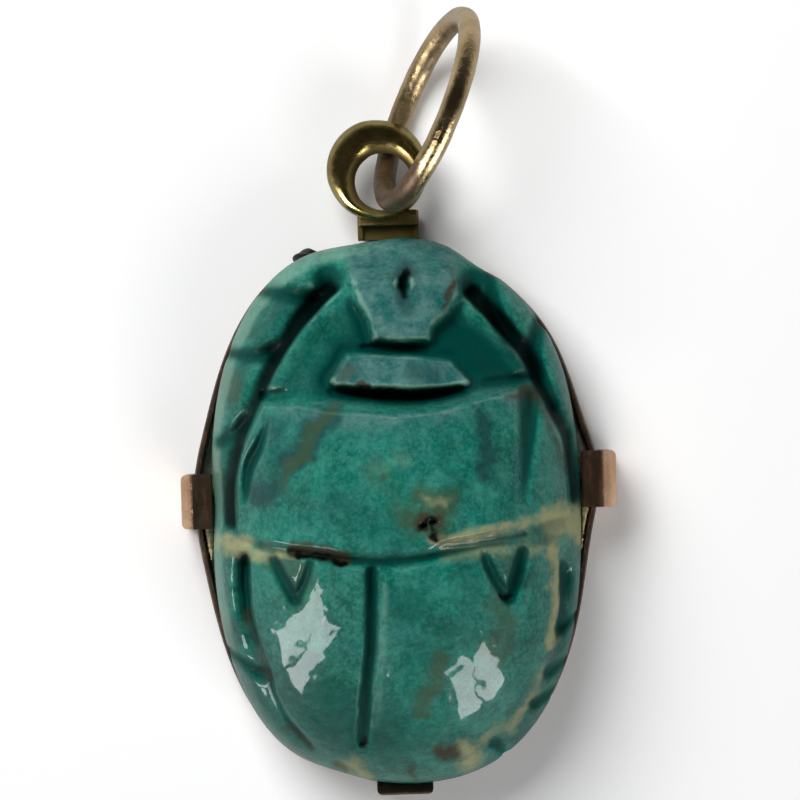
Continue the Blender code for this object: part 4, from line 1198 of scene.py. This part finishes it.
    def stain_and_crevice_shade_masks(self, grid: np.ndarray) -> dict[str, np.ndarray]:
        """One mask for each tone, from the marks of that tone; the dark crevice marks are painted shade.

        Args:
            grid: the grid of points, as rows, columns and coordinates.

        Returns:
            The masks by name, each as rows and columns.
        """
        top = self.top_mask(grid[..., 2])
        masks = {tone.value: np.zeros(top.shape) for tone in Tone}
        x, y = grid[..., 0], grid[..., 1]
        ragged_x, ragged_y = x, y
        for drift, scale, seed in ((10, 34, 31), (5, 11, 33)):
            ragged_x = ragged_x + drift * self.unit * value_noise(x, y, scale * self.unit, seed)
            ragged_y = ragged_y + drift * self.unit * value_noise(x, y, scale * self.unit, seed + 1)
        for mark in MARKS:
            path = self.path(mark.points)
            reach = mark.width * self.unit
            near = self.near(ragged_x, ragged_y, path, reach)
            distance = np.abs(distance_to_path(ragged_x[near], ragged_y[near], path)[0])
            spot = mark.strength * smoothstep(reach, 0.0, distance) * top[near]
            mask = masks[mark.tone.value]
            mask[near] = np.maximum(mask[near], spot)
        return masks

    def paint(self, mesh: bpy.types.Mesh, grid: np.ndarray) -> None:
        """Give the mesh the masks that its finish reads.

        Args:
            mesh: the scarab's mesh, its first vertices in the grid's order.
            grid: the grid of points, as rows, columns and coordinates.
        """
        for name, values in (self.relief_masks(grid) | self.stain_and_crevice_shade_masks(grid)).items():
            attribute = mesh.attributes.new(name, 'FLOAT', 'POINT')
            flat = np.zeros(len(mesh.vertices), dtype=np.float32)
            flat[:values.size] = values.reshape(-1)
            flat[values.size + 1:] = values[-1].mean()
            attribute.data.foreach_set("value", flat)

    def pale_mask(self, x: np.ndarray, y: np.ndarray) -> np.ndarray:
        """Where the back is paler and greyish: thin glaze on the head and the bar, and a patch at the
        thorax's front.
        """
        unit = self.unit
        head = smoothstep(0.0, 12 * unit, distance_inside(x, y, self.polygon(HEAD_PLATE)))
        bar = smoothstep(-2 * unit, 6 * unit, distance_inside(x, y, self.polygon(BROW_BAR)))
        distance, _ = distance_to_path(x, y, self.path(THORAX_FRONT))
        front = smoothstep(70 * unit, 0.0, -distance) * (distance < 0) * 0.6
        front = front * smoothstep(-0.95, -0.5, x / (self.width / 2))
        return np.maximum(np.maximum(0.85 * head, bar), front)

    def build(self, material: bpy.types.Material) -> bpy.types.Object:
        """Build the mesh, with its masks."""
        rows = self.rows()
        count = self.columns
        vertices = [point for row in rows for point in row]
        faces = []
        for row in range(len(rows) - 1):
            for column in range(count):
                turned = (column + 1) % count
                faces.append((row * count + column, row * count + turned,
                              (row + 1) * count + turned, (row + 1) * count + column))
        crown = float(np.mean(rows[-1][:, 2]))
        for row, height in ((0, 0.0), (len(rows) - 1, crown)):
            middle = len(vertices)
            vertices.append((0.0, 0.0, height))
            for column in range(count):
                faces.append((middle, row * count + column, row * count + (column + 1) % count))
        piece = new_piece("carved_scarab", vertices, faces, material)
        self.paint(piece.data, np.array(rows))
        return piece

    def dress(self, material: bpy.types.Material) -> None:
        """Build the scarab and put it in its solid's place."""
        piece = self.build(material)
        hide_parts("scarab")
        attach(piece, "root")
        LOG.info("scarab: %d faces", len(piece.data.polygons))


def add_mask(piece: bpy.types.Object, name: str, values: np.ndarray) -> None:
    """Give a piece a mask with one value for each vertex, which its finish reads by name."""
    attribute = piece.data.attributes.new(name, 'FLOAT', 'POINT')
    attribute.data.foreach_set("value", values.astype(np.float32))


def vertex_array(piece: bpy.types.Object) -> np.ndarray:
    """The piece's vertices, one in each row."""
    flat = np.empty(len(piece.data.vertices) * 3)
    piece.data.vertices.foreach_get("co", flat)
    return flat.reshape(-1, 3)


@dataclass
class Mount:
    """The collar with its three claws and the solder lump."""

    scarab: Scarab
    gap: float = 0.06 * MM
    thickness: float = 0.24 * MM
    drop: float = 0.10 * MM
    columns: int = 480
    swell: float = 0.62 * MM
    cusp_rise: float = 0.65 * MM
    claw_thickness: float = 0.33 * MM
    claw_height: float = 2.85 * MM
    claw_dish: float = 0.34 * MM
    facet_slope: float = 1.05
    corner_radius: float = 0.20 * MM
    wear: float = 0.06 * MM
    claw_widths: tuple = (1.80 * MM, 1.86 * MM)
    claw_offsets: tuple = (0.45 * MM, 0.85 * MM)
    claw_flares: tuple = (0.06 * MM, 0.18 * MM)
    cusp_reaches: tuple = (2.0 * MM, 1.7 * MM)
    tail_width: float = 1.86 * MM
    tail_offset: float = 0.05 * MM
    tail_stand: float = 0.36 * MM
    tail_height: float = 2.1 * MM
    lump_size: tuple = (0.26 * MM, 0.88 * MM, 1.5 * MM)
    lump_angle: float = math.radians(108.4)

    @property
    def height(self) -> float:
        """Height of the collar away from the claws."""
        return self.scarab.plate_height - self.drop

    def cusp_share(self, angle: np.ndarray) -> np.ndarray:
        """How far the collar swells out towards a side claw, from 0 to 1."""
        y = self.scarab.plate_radius(angle) * np.sin(angle)
        right = np.cos(angle) > 0
        centre = np.where(right, self.claw_offsets[1], self.claw_offsets[0])
        reach = np.where(right, self.cusp_reaches[1], self.cusp_reaches[0])
        return 1 / (1 + ((y - centre) / reach) ** 2)

    def collar_radii(self, angle: np.ndarray) -> tuple[np.ndarray, np.ndarray]:
        """Inner and outer radius of the collar."""
        inner = self.scarab.plate_radius(angle) + self.gap + self.swell * self.cusp_share(angle)
        return inner, inner + self.thickness

    def collar(self, material: bpy.types.Material) -> bpy.types.Object:
        """The strip on edge, with a rounded and slightly wavy top edge."""
        angles = np.arange(self.columns) * 2 * math.pi / self.columns
        inner, outer = self.collar_radii(angles)
        room = (inner - self.scarab.outline_radius(angles) - self.gap) / self.swell
        top = self.height + self.cusp_rise * np.clip(room, 0, 1)
        top = top - 0.04 * MM * (1 + value_noise(angles * 2 * MM, 0 * angles, 0.5 * MM, 21))
        sides = 12
        vertices = []
        for column, angle in enumerate(angles):
            middle, half = (inner[column] + outer[column]) / 2, self.thickness / 2
            for side in range(sides):
                turn = 2 * math.pi * (side + 0.5) / sides
                across = np.sign(math.cos(turn)) * abs(math.cos(turn)) ** 0.35
                up = np.sign(math.sin(turn)) * abs(math.sin(turn)) ** 0.35
                round_edge = 0.30 * half * max(0.0, abs(up) - 0.7) / 0.3
                radius = middle + across * (half - round_edge)
                vertices.append((radius * math.cos(angle), radius * math.sin(angle),
                                 top[column] * (0.5 + 0.5 * up)))
        return new_piece("gold_mount", vertices, tube_faces(self.columns, sides), material)

    def hooked_section(self, foot: float, reach: float, flare: float) -> Points:
        """Section of a side claw, as distance outwards and height.

        Args:
            foot: where its foot stands.
            reach: where its tip ends.
            flare: how much it leans out.

        Returns:
            The section's corners.
        """
        thick = self.claw_thickness
        top = self.claw_height
        root, low, shoulder = foot - 0.1 * thick, 0.15 * self.height, top - thick
        run, dip = foot - reach, top - self.claw_dish
        bend = dip + 0.25 * self.claw_dish
        facet = self.facet_slope * (thick + flare)
        return ((foot + thick + flare, low), (foot + thick + flare, top - facet),
                (foot + 0.6 * (thick + flare), top - 0.52 * facet),
                (foot + 0.12 * thick, top - 0.08 * thick), (foot - 0.1 * thick, top),
                (foot - 0.28 * run, bend + 0.25 * self.claw_dish), (foot - 0.5 * run, bend),
                (foot - 0.75 * run, bend - 0.15 * self.claw_dish), (reach, dip), (reach, dip - thick),
                (foot - 0.45 * run, bend - thick), (root, shoulder - 0.4 * thick), (root, low))

    def dished_section(self, foot: float, reach: float) -> Points:
        """Section of the tail claw."""
        thick, low, top = self.claw_thickness, 0.15 * self.height, self.tail_height
        out = reach + self.tail_stand
        return ((out - 0.1 * thick, low), (out, top - 0.5 * thick), (out - 0.2 * thick, top),
                (reach + 0.3 * self.tail_stand, top - 0.7 * self.claw_dish),
                (reach, top - self.claw_dish), (reach, self.height),
                (foot - 0.1 * thick, 0.9 * self.height), (foot - 0.1 * thick, low))

    def worn_section(self, section: Points) -> Points:
        """The section with its corners cut back twice, as wear rounds them."""
        for cut in (self.wear, 0.4 * self.wear):
            rounded = []
            for start, end in zip(section, section[1:] + section[:1]):
                share = min(0.3, cut / math.dist(start, end))
                for t in (share, 1 - share):
                    rounded.append(tuple(a + t * (b - a) for a, b in zip(start, end)))
            section = tuple(rounded)
        return section

    def strap(self, section: Points, place: Matrix, width: float,
              material: bpy.types.Material) -> bpy.types.Object:
        """A strap of one section with worn edges and rounded outer corners.

        Args:
            section: its corners, as distance outwards and height.
            place: where it goes.
            width: its width.
            material: the finish.

        Returns:
            The object.
        """
        section = self.worn_section(section)
        half, corner = width / 2, self.corner_radius
        outer = max(outward for outward, _ in section)
        turns = [math.pi / 2 * step / 5 for step in range(6)]
        ends = [half - corner + corner * math.sin(turn) for turn in turns]
        stations = [-along for along in reversed(ends)] + [0.0] + ends
        vertices = []
        for along in stations:
            reach = max(0.0, abs(along) - half + corner)
            limit = outer - corner + math.sqrt(max(0.0, corner ** 2 - reach ** 2))
            for outward, height in section:
                vertices.append(place @ Vector((min(outward, limit), along, height)))
        return new_piece("claw", vertices, tube_faces(len(stations), len(section), False), material)

    def claw_foot(self, side: Side) -> tuple[float, float]:
        """A side claw's angle from +X, and how far out its foot stands."""
        angle = side.turned(math.asin(self.claw_offsets[side.index] / (self.scarab.width / 2)))
        return angle, float(self.collar_radii(np.array(angle))[1]) * abs(math.cos(angle))

    def build(self, material: bpy.types.Material) -> bpy.types.Object:
        """Build the whole mount as one closed mesh."""
        mount = self.collar(material)
        claws = []
        for side in Side:
            index = side.index
            angle, foot = self.claw_foot(side)
            reach = float(self.scarab.outline_radius(np.array(angle))) * abs(math.cos(angle)) + self.gap
            section = self.hooked_section(foot, reach, self.claw_flares[index])
            place = Matrix.Translation((0, self.claw_offsets[index], 0))
            place = place @ Matrix.Diagonal((side.value, 1, 1, 1))
            claws.append(self.strap(section, place, self.claw_widths[index], material))
        angle = np.array(self.tail_offset / (self.scarab.length / 2) - math.pi / 2)
        section = self.dished_section(float(self.collar_radii(angle)[1]),
                                      float(self.scarab.outline_radius(angle)) + self.gap)
        place = Matrix.Translation((self.tail_offset, 0, 0)) @ Matrix.Rotation(-math.pi / 2, 4, 'Z')
        claws.append(self.strap(section, place, self.tail_width, material))
        claws.append(self.lump(material))
        return join_solids(mount, claws)

    def lump(self, material: bpy.types.Material) -> bpy.types.Object:
        """A dark run of solder on the collar beside the head."""
        outer = float(self.collar_radii(np.array(self.lump_angle))[1])
        thickness, length, height = self.lump_size
        work = bmesh.new()
        bmesh.ops.create_icosphere(work, subdivisions=4, radius=0.5)
        for vertex in work.verts:
            swell = 1 + 0.12 * math.sin(9 * vertex.co.y + 5 * vertex.co.z) * math.cos(7 * vertex.co.x)
            vertex.co = Vector((vertex.co.x * thickness * 2, vertex.co.y * length,
                                vertex.co.z * height)) * swell
        work.transform(Matrix.Rotation(self.lump_angle, 4, 'Z')
                       @ Matrix.Translation((outer, 0, height * 0.55)))
        return link_block("solder lump", work, material)

    def dress(self, material: bpy.types.Material) -> None:
        """Build the mount and put it in its solid's place."""
        piece = self.build(material)
        points = vertex_array(piece)
        angle = np.arctan2(points[:, 1], points[:, 0])
        radius = np.hypot(points[:, 0], points[:, 1])
        _, outer = self.collar_radii(angle)
        # Painted shade on the collar and the tail claw, and a painted dark reflection in the side claws'
        # dishes.
        collar = smoothstep(self.height + self.cusp_rise + 0.25 * MM, self.height + self.cusp_rise,
                            points[:, 2]) * (radius < outer + 0.5 * self.gap)
        foot = np.where(points[:, 0] < 0, self.claw_foot(Side.LEFT)[1], self.claw_foot(Side.RIGHT)[1])
        claw = (np.abs(points[:, 1]) < 2.5 * MM) * (points[:, 2] > self.height + self.cusp_rise)
        dish = smoothstep(foot + 0.02 * MM, foot - 0.02 * MM, np.abs(points[:, 0])) * claw
        tail = smoothstep(0.2, 0.1, np.abs(angle + math.pi / 2)) * (radius > outer)
        add_mask(piece, "shelter", np.maximum(np.maximum(0.75 * collar, 1.2 * dish), 0.9 * tail))
        add_mask(piece, "solder", smoothstep(0.09, 0.06, np.abs(angle - self.lump_angle)))
        piece.data.shade_smooth()
        piece.data.set_sharp_from_angle(angle=math.radians(45))
        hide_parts("mount")
        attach(piece, "root")
        LOG.info("mount: %d faces", len(piece.data.polygons))


@dataclass
class Bail:
    """The loop, thick on the left and slim on the right, on its pocketed square post."""

    mount: Mount
    post_width: float = 2.04 * MM
    post_length: float = 0.62 * MM
    post_bottom: float = 0.35 * MM
    post_wall: float = 0.17 * MM
    pocket_depth: float = 0.16 * MM
    loop_radius: float = 1.68 * MM
    loop_depth: float = 1.05 * MM
    loop_height: float = 1.70 * MM
    loop_offset: float = 0.31 * MM
    hole_radius: float = 0.94 * MM
    hole_offset: tuple = (0.19 * MM, -0.40 * MM)
    segments: int = 150
    sides: int = 40

    @property
    def start(self) -> float:
        """Where the post begins, just off the collar's outer face."""
        return float(self.mount.collar_radii(np.array(math.pi / 2))[1]) + self.mount.gap

    @property
    def loop_centre(self) -> tuple[float, float]:
        """Centre of the loop's outer circle."""
        return -self.loop_offset, self.start + self.post_length + self.loop_radius

    @property
    def hole_centre(self) -> tuple[float, float]:
        """Centre of the hole."""
        x, y = self.loop_centre
        return x + self.hole_offset[0], y + self.hole_offset[1]

    def loop(self, material: bpy.types.Material) -> bpy.types.Object:
        """The loop by itself, hammered slightly uneven."""
        hole_x, hole_y = self.hole_centre
        off_x, off_y = self.hole_offset
        vertices = []
        for index in range(self.segments):
            turn = 2 * math.pi * index / self.segments
            cos, sin = math.cos(turn), math.sin(turn)
            across = off_x * cos + off_y * sin
            outer = -across + math.sqrt(across ** 2 - off_x ** 2 - off_y ** 2 + self.loop_radius ** 2)
            middle, half = (outer + self.hole_radius) / 2, (outer - self.hole_radius) / 2
            for side in range(self.sides):
                lean = 2 * math.pi * side / self.sides
                dent = 1 + 0.03 * math.sin(3 * turn + 2 * lean) + 0.02 * math.sin(7 * turn - lean)
                radius = middle + half * math.cos(lean) * min(dent, 1.0)
                vertices.append((hole_x + radius * cos, hole_y + radius * sin,
                                 self.loop_height + self.loop_depth / 2 * math.sin(lean) * min(dent, 1.0)))
        return new_piece("gold_bail", vertices, tube_faces(self.segments, self.sides), material)

    def box(self, low: tuple, high: tuple, bevel_width: float,
            material: bpy.types.Material) -> bpy.types.Object:
        """A box between two corners, its edges worn round.

        Args:
            low, high: the corners.
            bevel_width: how far the edges are worn.
            material: the finish.

        Returns:
            The object.
        """
        work = bmesh.new()
        bmesh.ops.create_cube(work, size=1.0)
        for vertex in work.verts:
            vertex.co = Vector([(a + b) / 2 + (b - a) * c for a, b, c in zip(low, high, vertex.co)])
        if bevel_width > 0:
            bmesh.ops.bevel(work, geom=list(work.edges), offset=bevel_width, segments=3,
                            profile=0.5, affect='EDGES')
        return link_block("block", work, material)

    def build(self, material: bpy.types.Material) -> bpy.types.Object:
        """Build the loop and its post as one closed mesh."""
        loop = self.loop(material)
        half, top = self.post_width / 2, self.mount.height
        end = self.start + self.post_length
        hole_edge = self.hole_centre[1] - self.hole_radius
        post = self.box((-half, self.start, self.post_bottom), (half, hole_edge, top),
                        0.04 * MM, material)
        pocket = self.box((-half + self.post_wall, self.start - self.post_wall, top - self.pocket_depth),
                          (half - self.post_wall, end - self.post_wall, top + self.post_wall), 0.0, material)
        combine(post, pocket, 'DIFFERENCE')
        half -= self.post_wall / 4
        saddle = self.box((-half, end - self.post_wall, self.post_bottom + self.post_wall),
                          (half, hole_edge, self.loop_height), 0.06 * MM, material)
        return join_solids(loop, [post, saddle])

    def dress(self, material: bpy.types.Material) -> None:
        """Build the bail and put it in its solid's place."""
        piece = self.build(material)
        points = vertex_array(piece)
        hole_x, hole_y = self.hole_centre
        radius = np.hypot(points[:, 0] - hole_x, points[:, 1] - hole_y)
        # Painted shade inside the loop, on the post and on the low parts.
        inside = smoothstep(self.hole_radius * 1.5, self.hole_radius * 1.0, radius)
        post = smoothstep(self.start + self.post_length + 0.1 * MM, self.start + self.post_length,
                          points[:, 1])
        low = smoothstep(1.5 * MM, 1.0 * MM, points[:, 2])
        add_mask(piece, "shelter", np.maximum(np.maximum(inside, 1.2 * post), 0.5 * low))
        piece.data.shade_smooth()
        piece.data.set_sharp_from_angle(angle=math.radians(40))
        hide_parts("bail")
        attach(piece, "root")
        LOG.info("bail: %d faces", len(piece.data.polygons))


@dataclass
class JumpRing:
    """The wire ring that leans through the bail."""

    bail: Bail
    radius: float = 3.22 * MM
    wire_radius: float = 0.38 * MM
    heading: float = math.radians(67.1)
    lean: float = math.radians(14.2)
    floor_gap: float = 0.02 * MM
    hole_shift: tuple = (0.05 * MM, 0.02 * MM)
    steps: int = 320
    sides: int = 40

    def place(self) -> Matrix:
        """Where the ring is, with its own plane as X and Y."""
        along = Vector((math.cos(self.heading), math.sin(self.heading), 0))
        across = Vector((math.sin(self.heading), -math.cos(self.heading), 0))
        upward = math.sin(self.lean) * across + math.cos(self.lean) * Vector((0, 0, 1))
        height = self.radius * math.cos(self.lean) + self.wire_radius + self.floor_gap
        sine = -(height - self.bail.loop_height) / (self.radius * math.cos(self.lean))
        crossing = self.radius * (-math.sqrt(1 - sine ** 2) * along + sine * upward)
        hole_x, hole_y = self.bail.hole_centre
        centre = Vector((hole_x + self.hole_shift[0] - crossing.x,
                         hole_y + self.hole_shift[1] - crossing.y, height))
        turn = Matrix((along, upward, along.cross(upward))).transposed().to_4x4()
        return Matrix.Translation(centre) @ turn

    def tree(self) -> bpy.types.NodeTree:
        """Geometry nodes that sweep a round wire along a circle and leave it slightly uneven."""
        graph, given, result = new_group(
            "wire hoop", {"Radius": 'NodeSocketFloat', "Wire Radius": 'NodeSocketFloat',
                          "Steps": 'NodeSocketInt', "Sides": 'NodeSocketInt',
                          "Unevenness": 'NodeSocketFloat', "Material": 'NodeSocketMaterial'},
            {"Geometry": 'NodeSocketGeometry'}, 'GeometryNodeTree')
        path = graph.add("GeometryNodeCurvePrimitiveCircle",
                         {"Resolution": given["Steps"], "Radius": given["Radius"]})
        profile = graph.add("GeometryNodeCurvePrimitiveCircle",
                            {"Resolution": given["Sides"], "Radius": given["Wire Radius"]})
        wire = graph.add("GeometryNodeCurveToMesh", {"Curve": path.outputs["Curve"],
                                                     "Profile Curve": profile.outputs["Curve"]})
        moved = graph.roughen(wire.outputs["Mesh"], 900.0, 0.75, given["Unevenness"])
        smooth = graph.add("GeometryNodeSetShadeSmooth", {"Geometry": moved})
        real = graph.add("GeometryNodeRealizeInstances", {"Geometry": smooth.outputs[0]})
        finish = graph.add("GeometryNodeSetMaterial", {"Geometry": real.outputs[0],
                                                       "Material": given["Material"]})
        graph.feed(result["Geometry"], finish.outputs[0])
        return graph.tree

    def build(self, material: bpy.types.Material) -> bpy.types.Object:
        """Run the nodes and bring the ring to its place."""
        piece = bpy.data.objects.new("gold_jump_ring", bpy.data.meshes.new("gold_jump_ring"))
        bpy.context.collection.objects.link(piece)
        run_nodes(piece, self.tree(), {"Radius": self.radius, "Wire Radius": self.wire_radius,
                                       "Steps": self.steps, "Sides": self.sides,
                                       "Unevenness": 0.05 * MM, "Material": material})
        piece.data.transform(self.place())
        turn_outwards(piece.data)
        return piece

    def dress(self, material: bpy.types.Material) -> None:
        """Build the ring and put it in its solid's place."""
        piece = self.build(material)
        points = vertex_array(piece)
        local = points - np.array(self.place().translation)
        radius = np.linalg.norm(local, axis=1)
        # Painted shade on the inner side of the wire and where it passes through the bail.
        shelter = 0.55 * smoothstep(self.radius, self.radius - self.wire_radius, radius)
        hole_x, hole_y = self.bail.hole_centre
        from_hole = np.hypot(points[:, 0] - hole_x, points[:, 1] - hole_y)
        add_mask(piece, "shelter", np.maximum(shelter, smoothstep(1.5 * MM, 0.9 * MM, from_hole)))
        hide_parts("jump_ring")
        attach(piece, "root")
        LOG.info("jump ring: %d faces", len(piece.data.polygons))


def run_nodes(piece: bpy.types.Object, tree: bpy.types.NodeTree, values: dict) -> None:
    """Run geometry nodes on a piece and keep the result as plain mesh.

    Args:
        piece: the object.
        tree: the node tree, whose inputs have names.
        values: input values by those names.
    """
    modifier = piece.modifiers.new(tree.name, 'NODES')
    modifier.node_group = tree
    for item in tree.interface.items_tree:
        if item.item_type == 'SOCKET' and item.in_out == 'INPUT' and item.name in values:
            modifier[item.identifier] = values[item.name]
    settle(piece)


@dataclass
class Cement:
    """Crumbly bedding between the scarab and the collar, below a side claw."""

    mount: Mount
    side: Side
    start: float = 0.6 * MM
    ends: tuple = (1.9 * MM, 2.3 * MM)
    top: float = 1.95 * MM
    columns: int = 70

    def build(self, material: bpy.types.Material) -> bpy.types.Object:
        """Build the bed, then roughen it and scatter grains over it."""
        offset, end = self.mount.claw_offsets[self.side.index], self.ends[self.side.index]
        gap, scarab = self.mount.gap, self.mount.scarab
        shoulder = self.mount.height - gap
        vertices = []
        for column in range(self.columns + 1):
            share = column / self.columns
            y = offset + self.start - (self.start + end) * share
            angle = self.side.turned(math.asin(y / (scarab.width / 2)))
            at = np.array(angle)
            inner = float(scarab.plate_radius(at)) + gap
            outer = float(self.mount.collar_radii(at)[0]) - gap
            rim = float(scarab.outline_radius(at)) + gap
            top = shoulder + (self.top - shoulder) * (0.35 + 0.65 * math.sin(math.pi * share))
            section = [(inner, gap), (outer, gap)]
            section += [(outer, gap + (top - gap) * step / 8) for step in range(1, 9)]
            section += [(outer + (rim - outer) * step / 6,
                         top + 0.06 * MM * math.sin(math.pi * step / 6)) for step in range(1, 7)]
            section += [(rim, shoulder), (inner, shoulder)]
            for radius, height in section:
                vertices.append((radius * math.cos(angle), radius * math.sin(angle), height))
        name = "cement_bed_" + self.side.name.lower()
        piece = new_piece(name, vertices, tube_faces(self.columns + 1, len(section), False), material)
        run_nodes(piece, self.tree(), {"Roughness": 0.05 * MM, "Grain Size": 0.045 * MM,
                                       "Density": 3.0e7, "Material": material})
        return piece

    def tree(self) -> bpy.types.NodeTree:
        """Geometry nodes that roughen a surface and scatter grains over it."""
        name = "crumble"
        if name in bpy.data.node_groups:
            return bpy.data.node_groups[name]
        graph, given, result = new_group(
            name, {"Geometry": 'NodeSocketGeometry', "Roughness": 'NodeSocketFloat',
                   "Grain Size": 'NodeSocketFloat', "Density": 'NodeSocketFloat',
                   "Material": 'NodeSocketMaterial'},
            {"Geometry": 'NodeSocketGeometry'}, 'GeometryNodeTree')
        rough = graph.roughen(given["Geometry"], 6000.0, 0.6, given["Roughness"])
        points = graph.add("GeometryNodeDistributePointsOnFaces",
                           {"Mesh": rough, "Density": given["Density"], "Seed": 7})
        grain = graph.add("GeometryNodeMeshIcoSphere", {"Radius": given["Grain Size"], "Subdivisions": 1})
        size = graph.add("FunctionNodeRandomValue", {"Min": 0.4, "Max": 1.1, "Seed": 9},
                         data_type='FLOAT')
        size_out = next(socket for socket in size.outputs if socket.enabled)
        grains = graph.add("GeometryNodeInstanceOnPoints",
                           {"Points": points.outputs["Points"], "Instance": grain.outputs["Mesh"],
                            "Scale": size_out})
        both = graph.add("GeometryNodeJoinGeometry")
        graph.tree.links.new(grains.outputs["Instances"], both.inputs[0])
        graph.tree.links.new(rough, both.inputs[0])
        real = graph.add("GeometryNodeRealizeInstances", {"Geometry": both.outputs[0]})
        smooth = graph.add("GeometryNodeSetShadeSmooth", {"Geometry": real.outputs[0]})
        finish = graph.add("GeometryNodeSetMaterial", {"Geometry": smooth.outputs[0],
                                                       "Material": given["Material"]})
        graph.feed(result["Geometry"], finish.outputs[0])
        return graph.tree

    def dress(self, material: bpy.types.Material) -> None:
        """Build the bed and put it in its solid's place."""
        piece = self.build(material)
        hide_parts("cement_" + self.side.name.lower())
        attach(piece, "root")
        LOG.info("%s: %d faces", piece.name, len(piece.data.polygons))


@dataclass(frozen=True)
class Studio:
    """A pale floor, soft light and the camera over the amulet."""

    floor_size: float = 0.6
    frame_width: float = 26.4 * MM
    frame_height: float = 2.5 * MM
    frame_centre: tuple = (0.233 * MM, 3.625 * MM)
    camera_height: float = 150 * MM
    camera_turn: float = math.radians(-1.6)
    lamp_distance: float = 150 * MM

    def floor(self) -> None:
        """A plain pale floor."""
        material, graph, shader, place = new_material("pale floor")
        tone = graph.mix(graph.noise(place, 6.0, 2.0), grey(0.95), grey(0.97))
        mirrored = graph.add("ShaderNodeLightPath").outputs["Is Glossy Ray"]
        graph.feed(shader.inputs["Base Color"], graph.mix(mirrored, tone, grey(0.5)))
        shader.inputs["Roughness"].default_value = 0.9
        shader.inputs["Specular IOR Level"].default_value = 0.1
        half = self.floor_size / 2
        mesh = bpy.data.meshes.new("floor")
        corners = [(-half, -half, 0), (half, -half, 0), (half, half, 0), (-half, half, 0)]
        mesh.from_pydata(corners, [], [(0, 1, 2, 3)])
        floor = link_piece("floor", mesh, material)

    def sky(self) -> None:
        """Surroundings that are bright round the sides and dim overhead."""
        world = bpy.data.worlds.new("studio")
        bpy.context.scene.world = world
        world.use_nodes = True
        graph = Graph(world.node_tree)
        direction = graph.add("ShaderNodeTexCoord").outputs["Generated"]
        up = graph.add("ShaderNodeSeparateXYZ", {0: direction}).outputs["Z"]
        colour = graph.mix(graph.step(0.06, 0.26, up), grey(0.55), grey(0.15))
        colour = graph.mix(graph.step(0.30, 0.60, up), colour, grey(0.04))
        mirrored = graph.add("ShaderNodeLightPath").outputs["Is Glossy Ray"]
        colour = graph.mix(graph.part(mirrored, 0.2), colour, grey(0.0))
        background = world.node_tree.nodes["Background"]
        graph.feed(background.inputs["Color"], colour)
        background.inputs["Strength"].default_value = 1.0

    def lamp(self, name: str, azimuth: float, elevation: float, size: tuple, radiance: float,
             mirrored: bool) -> None:
        """A soft rectangular lamp that faces the amulet.

        Args:
            name: the lamp's name.
            azimuth: its direction in degrees from +X.
            elevation: its height over the floor in degrees.
            size: its width and height in degrees, seen from the amulet.
            radiance: how bright its face is, where 1 is white.
            mirrored: whether it only shows in glossy surfaces; otherwise it only lights them.
        """
        data = bpy.data.lights.new(name, 'AREA')
        data.shape = 'RECTANGLE'
        width, height = (2 * self.lamp_distance * math.tan(math.radians(angle / 2)) for angle in size)
        data.size, data.size_y = width, height
        data.energy = math.pi * width * height * radiance
        lamp = bpy.data.objects.new(name, data)
        turn, rise = math.radians(azimuth), math.radians(elevation)
        place = Vector((math.cos(turn) * math.cos(rise), math.sin(turn) * math.cos(rise), math.sin(rise)))
        lamp.location = place * self.lamp_distance
        lamp.rotation_euler = (-place).to_track_quat('-Z', 'Y').to_euler()
        lamp.visible_glossy = mirrored
        lamp.visible_diffuse = not mirrored
        bpy.context.collection.objects.link(lamp)

    def camera(self) -> None:
        """The camera straight over the amulet, framed as the photograph is."""
        data = bpy.data.cameras.new("camera")
        distance = self.camera_height - self.frame_height
        data.lens = data.sensor_width * distance / self.frame_width
        data.clip_start = 0.01
        camera = bpy.data.objects.new("camera", data)
        camera.location = (*self.frame_centre, self.camera_height)
        camera.rotation_euler = (0, 0, self.camera_turn)
        bpy.context.collection.objects.link(camera)
        bpy.context.scene.camera = camera

    def build(self) -> None:
        """Set up the floor, the light and the camera."""
        self.floor()
        self.sky()
        self.camera()
        self.lamp("key", 125, 50, (34, 34), 9.2, False)
        self.lamp("fill", -60, 35, (34, 30), 4.2, False)
        self.lamp("left window, left pane", -154, 26, (11, 43), 13.0, True)
        self.lamp("left window, right pane", -140, 28, (12, 46), 13.0, True)
        self.lamp("right window, left pane", -62, 23, (14, 28), 12.0, True)
        self.lamp("right window, right pane", -46, 21, (13, 28), 12.0, True)
        bpy.context.scene.view_settings.view_transform = 'Standard'


def main() -> None:
    """Dress each node and set up the studio."""
    logging.basicConfig(level=logging.INFO)
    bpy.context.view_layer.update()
    effects = Effects()
    stone = GlazedStone(effects).build()
    rose = Gold(effects, "rose gold", clean=srgb(250, 208, 172), warm=srgb(222, 176, 140),
                tarnish_and_shade_colour=srgb(24, 12, 6), roughness=0.15, tarnish_and_shade_share=0.94).build()
    yellow = Gold(effects, "yellow gold", clean=srgb(190, 170, 108), warm=srgb(150, 134, 78),
                  tarnish_and_shade_colour=srgb(106, 92, 48), roughness=0.17).build()
    pale = Gold(effects, "ring gold", clean=srgb(216, 190, 146), warm=srgb(180, 156, 112),
                tarnish_and_shade_colour=srgb(54, 35, 15), roughness=0.11, tarnish_and_shade_share=0.9, pitting=0.4).build()
    bedding = Bedding(effects).build()
    Studio().build()
    scarab = Scarab()
    scarab.dress(stone)
    mount = Mount(scarab)
    mount.dress(rose)
    bail = Bail(mount)
    bail.dress(yellow)
    JumpRing(bail).dress(pale)
    for side in Side:
        Cement(mount, side).dress(bedding)


if __name__ == "__main__":
    main()
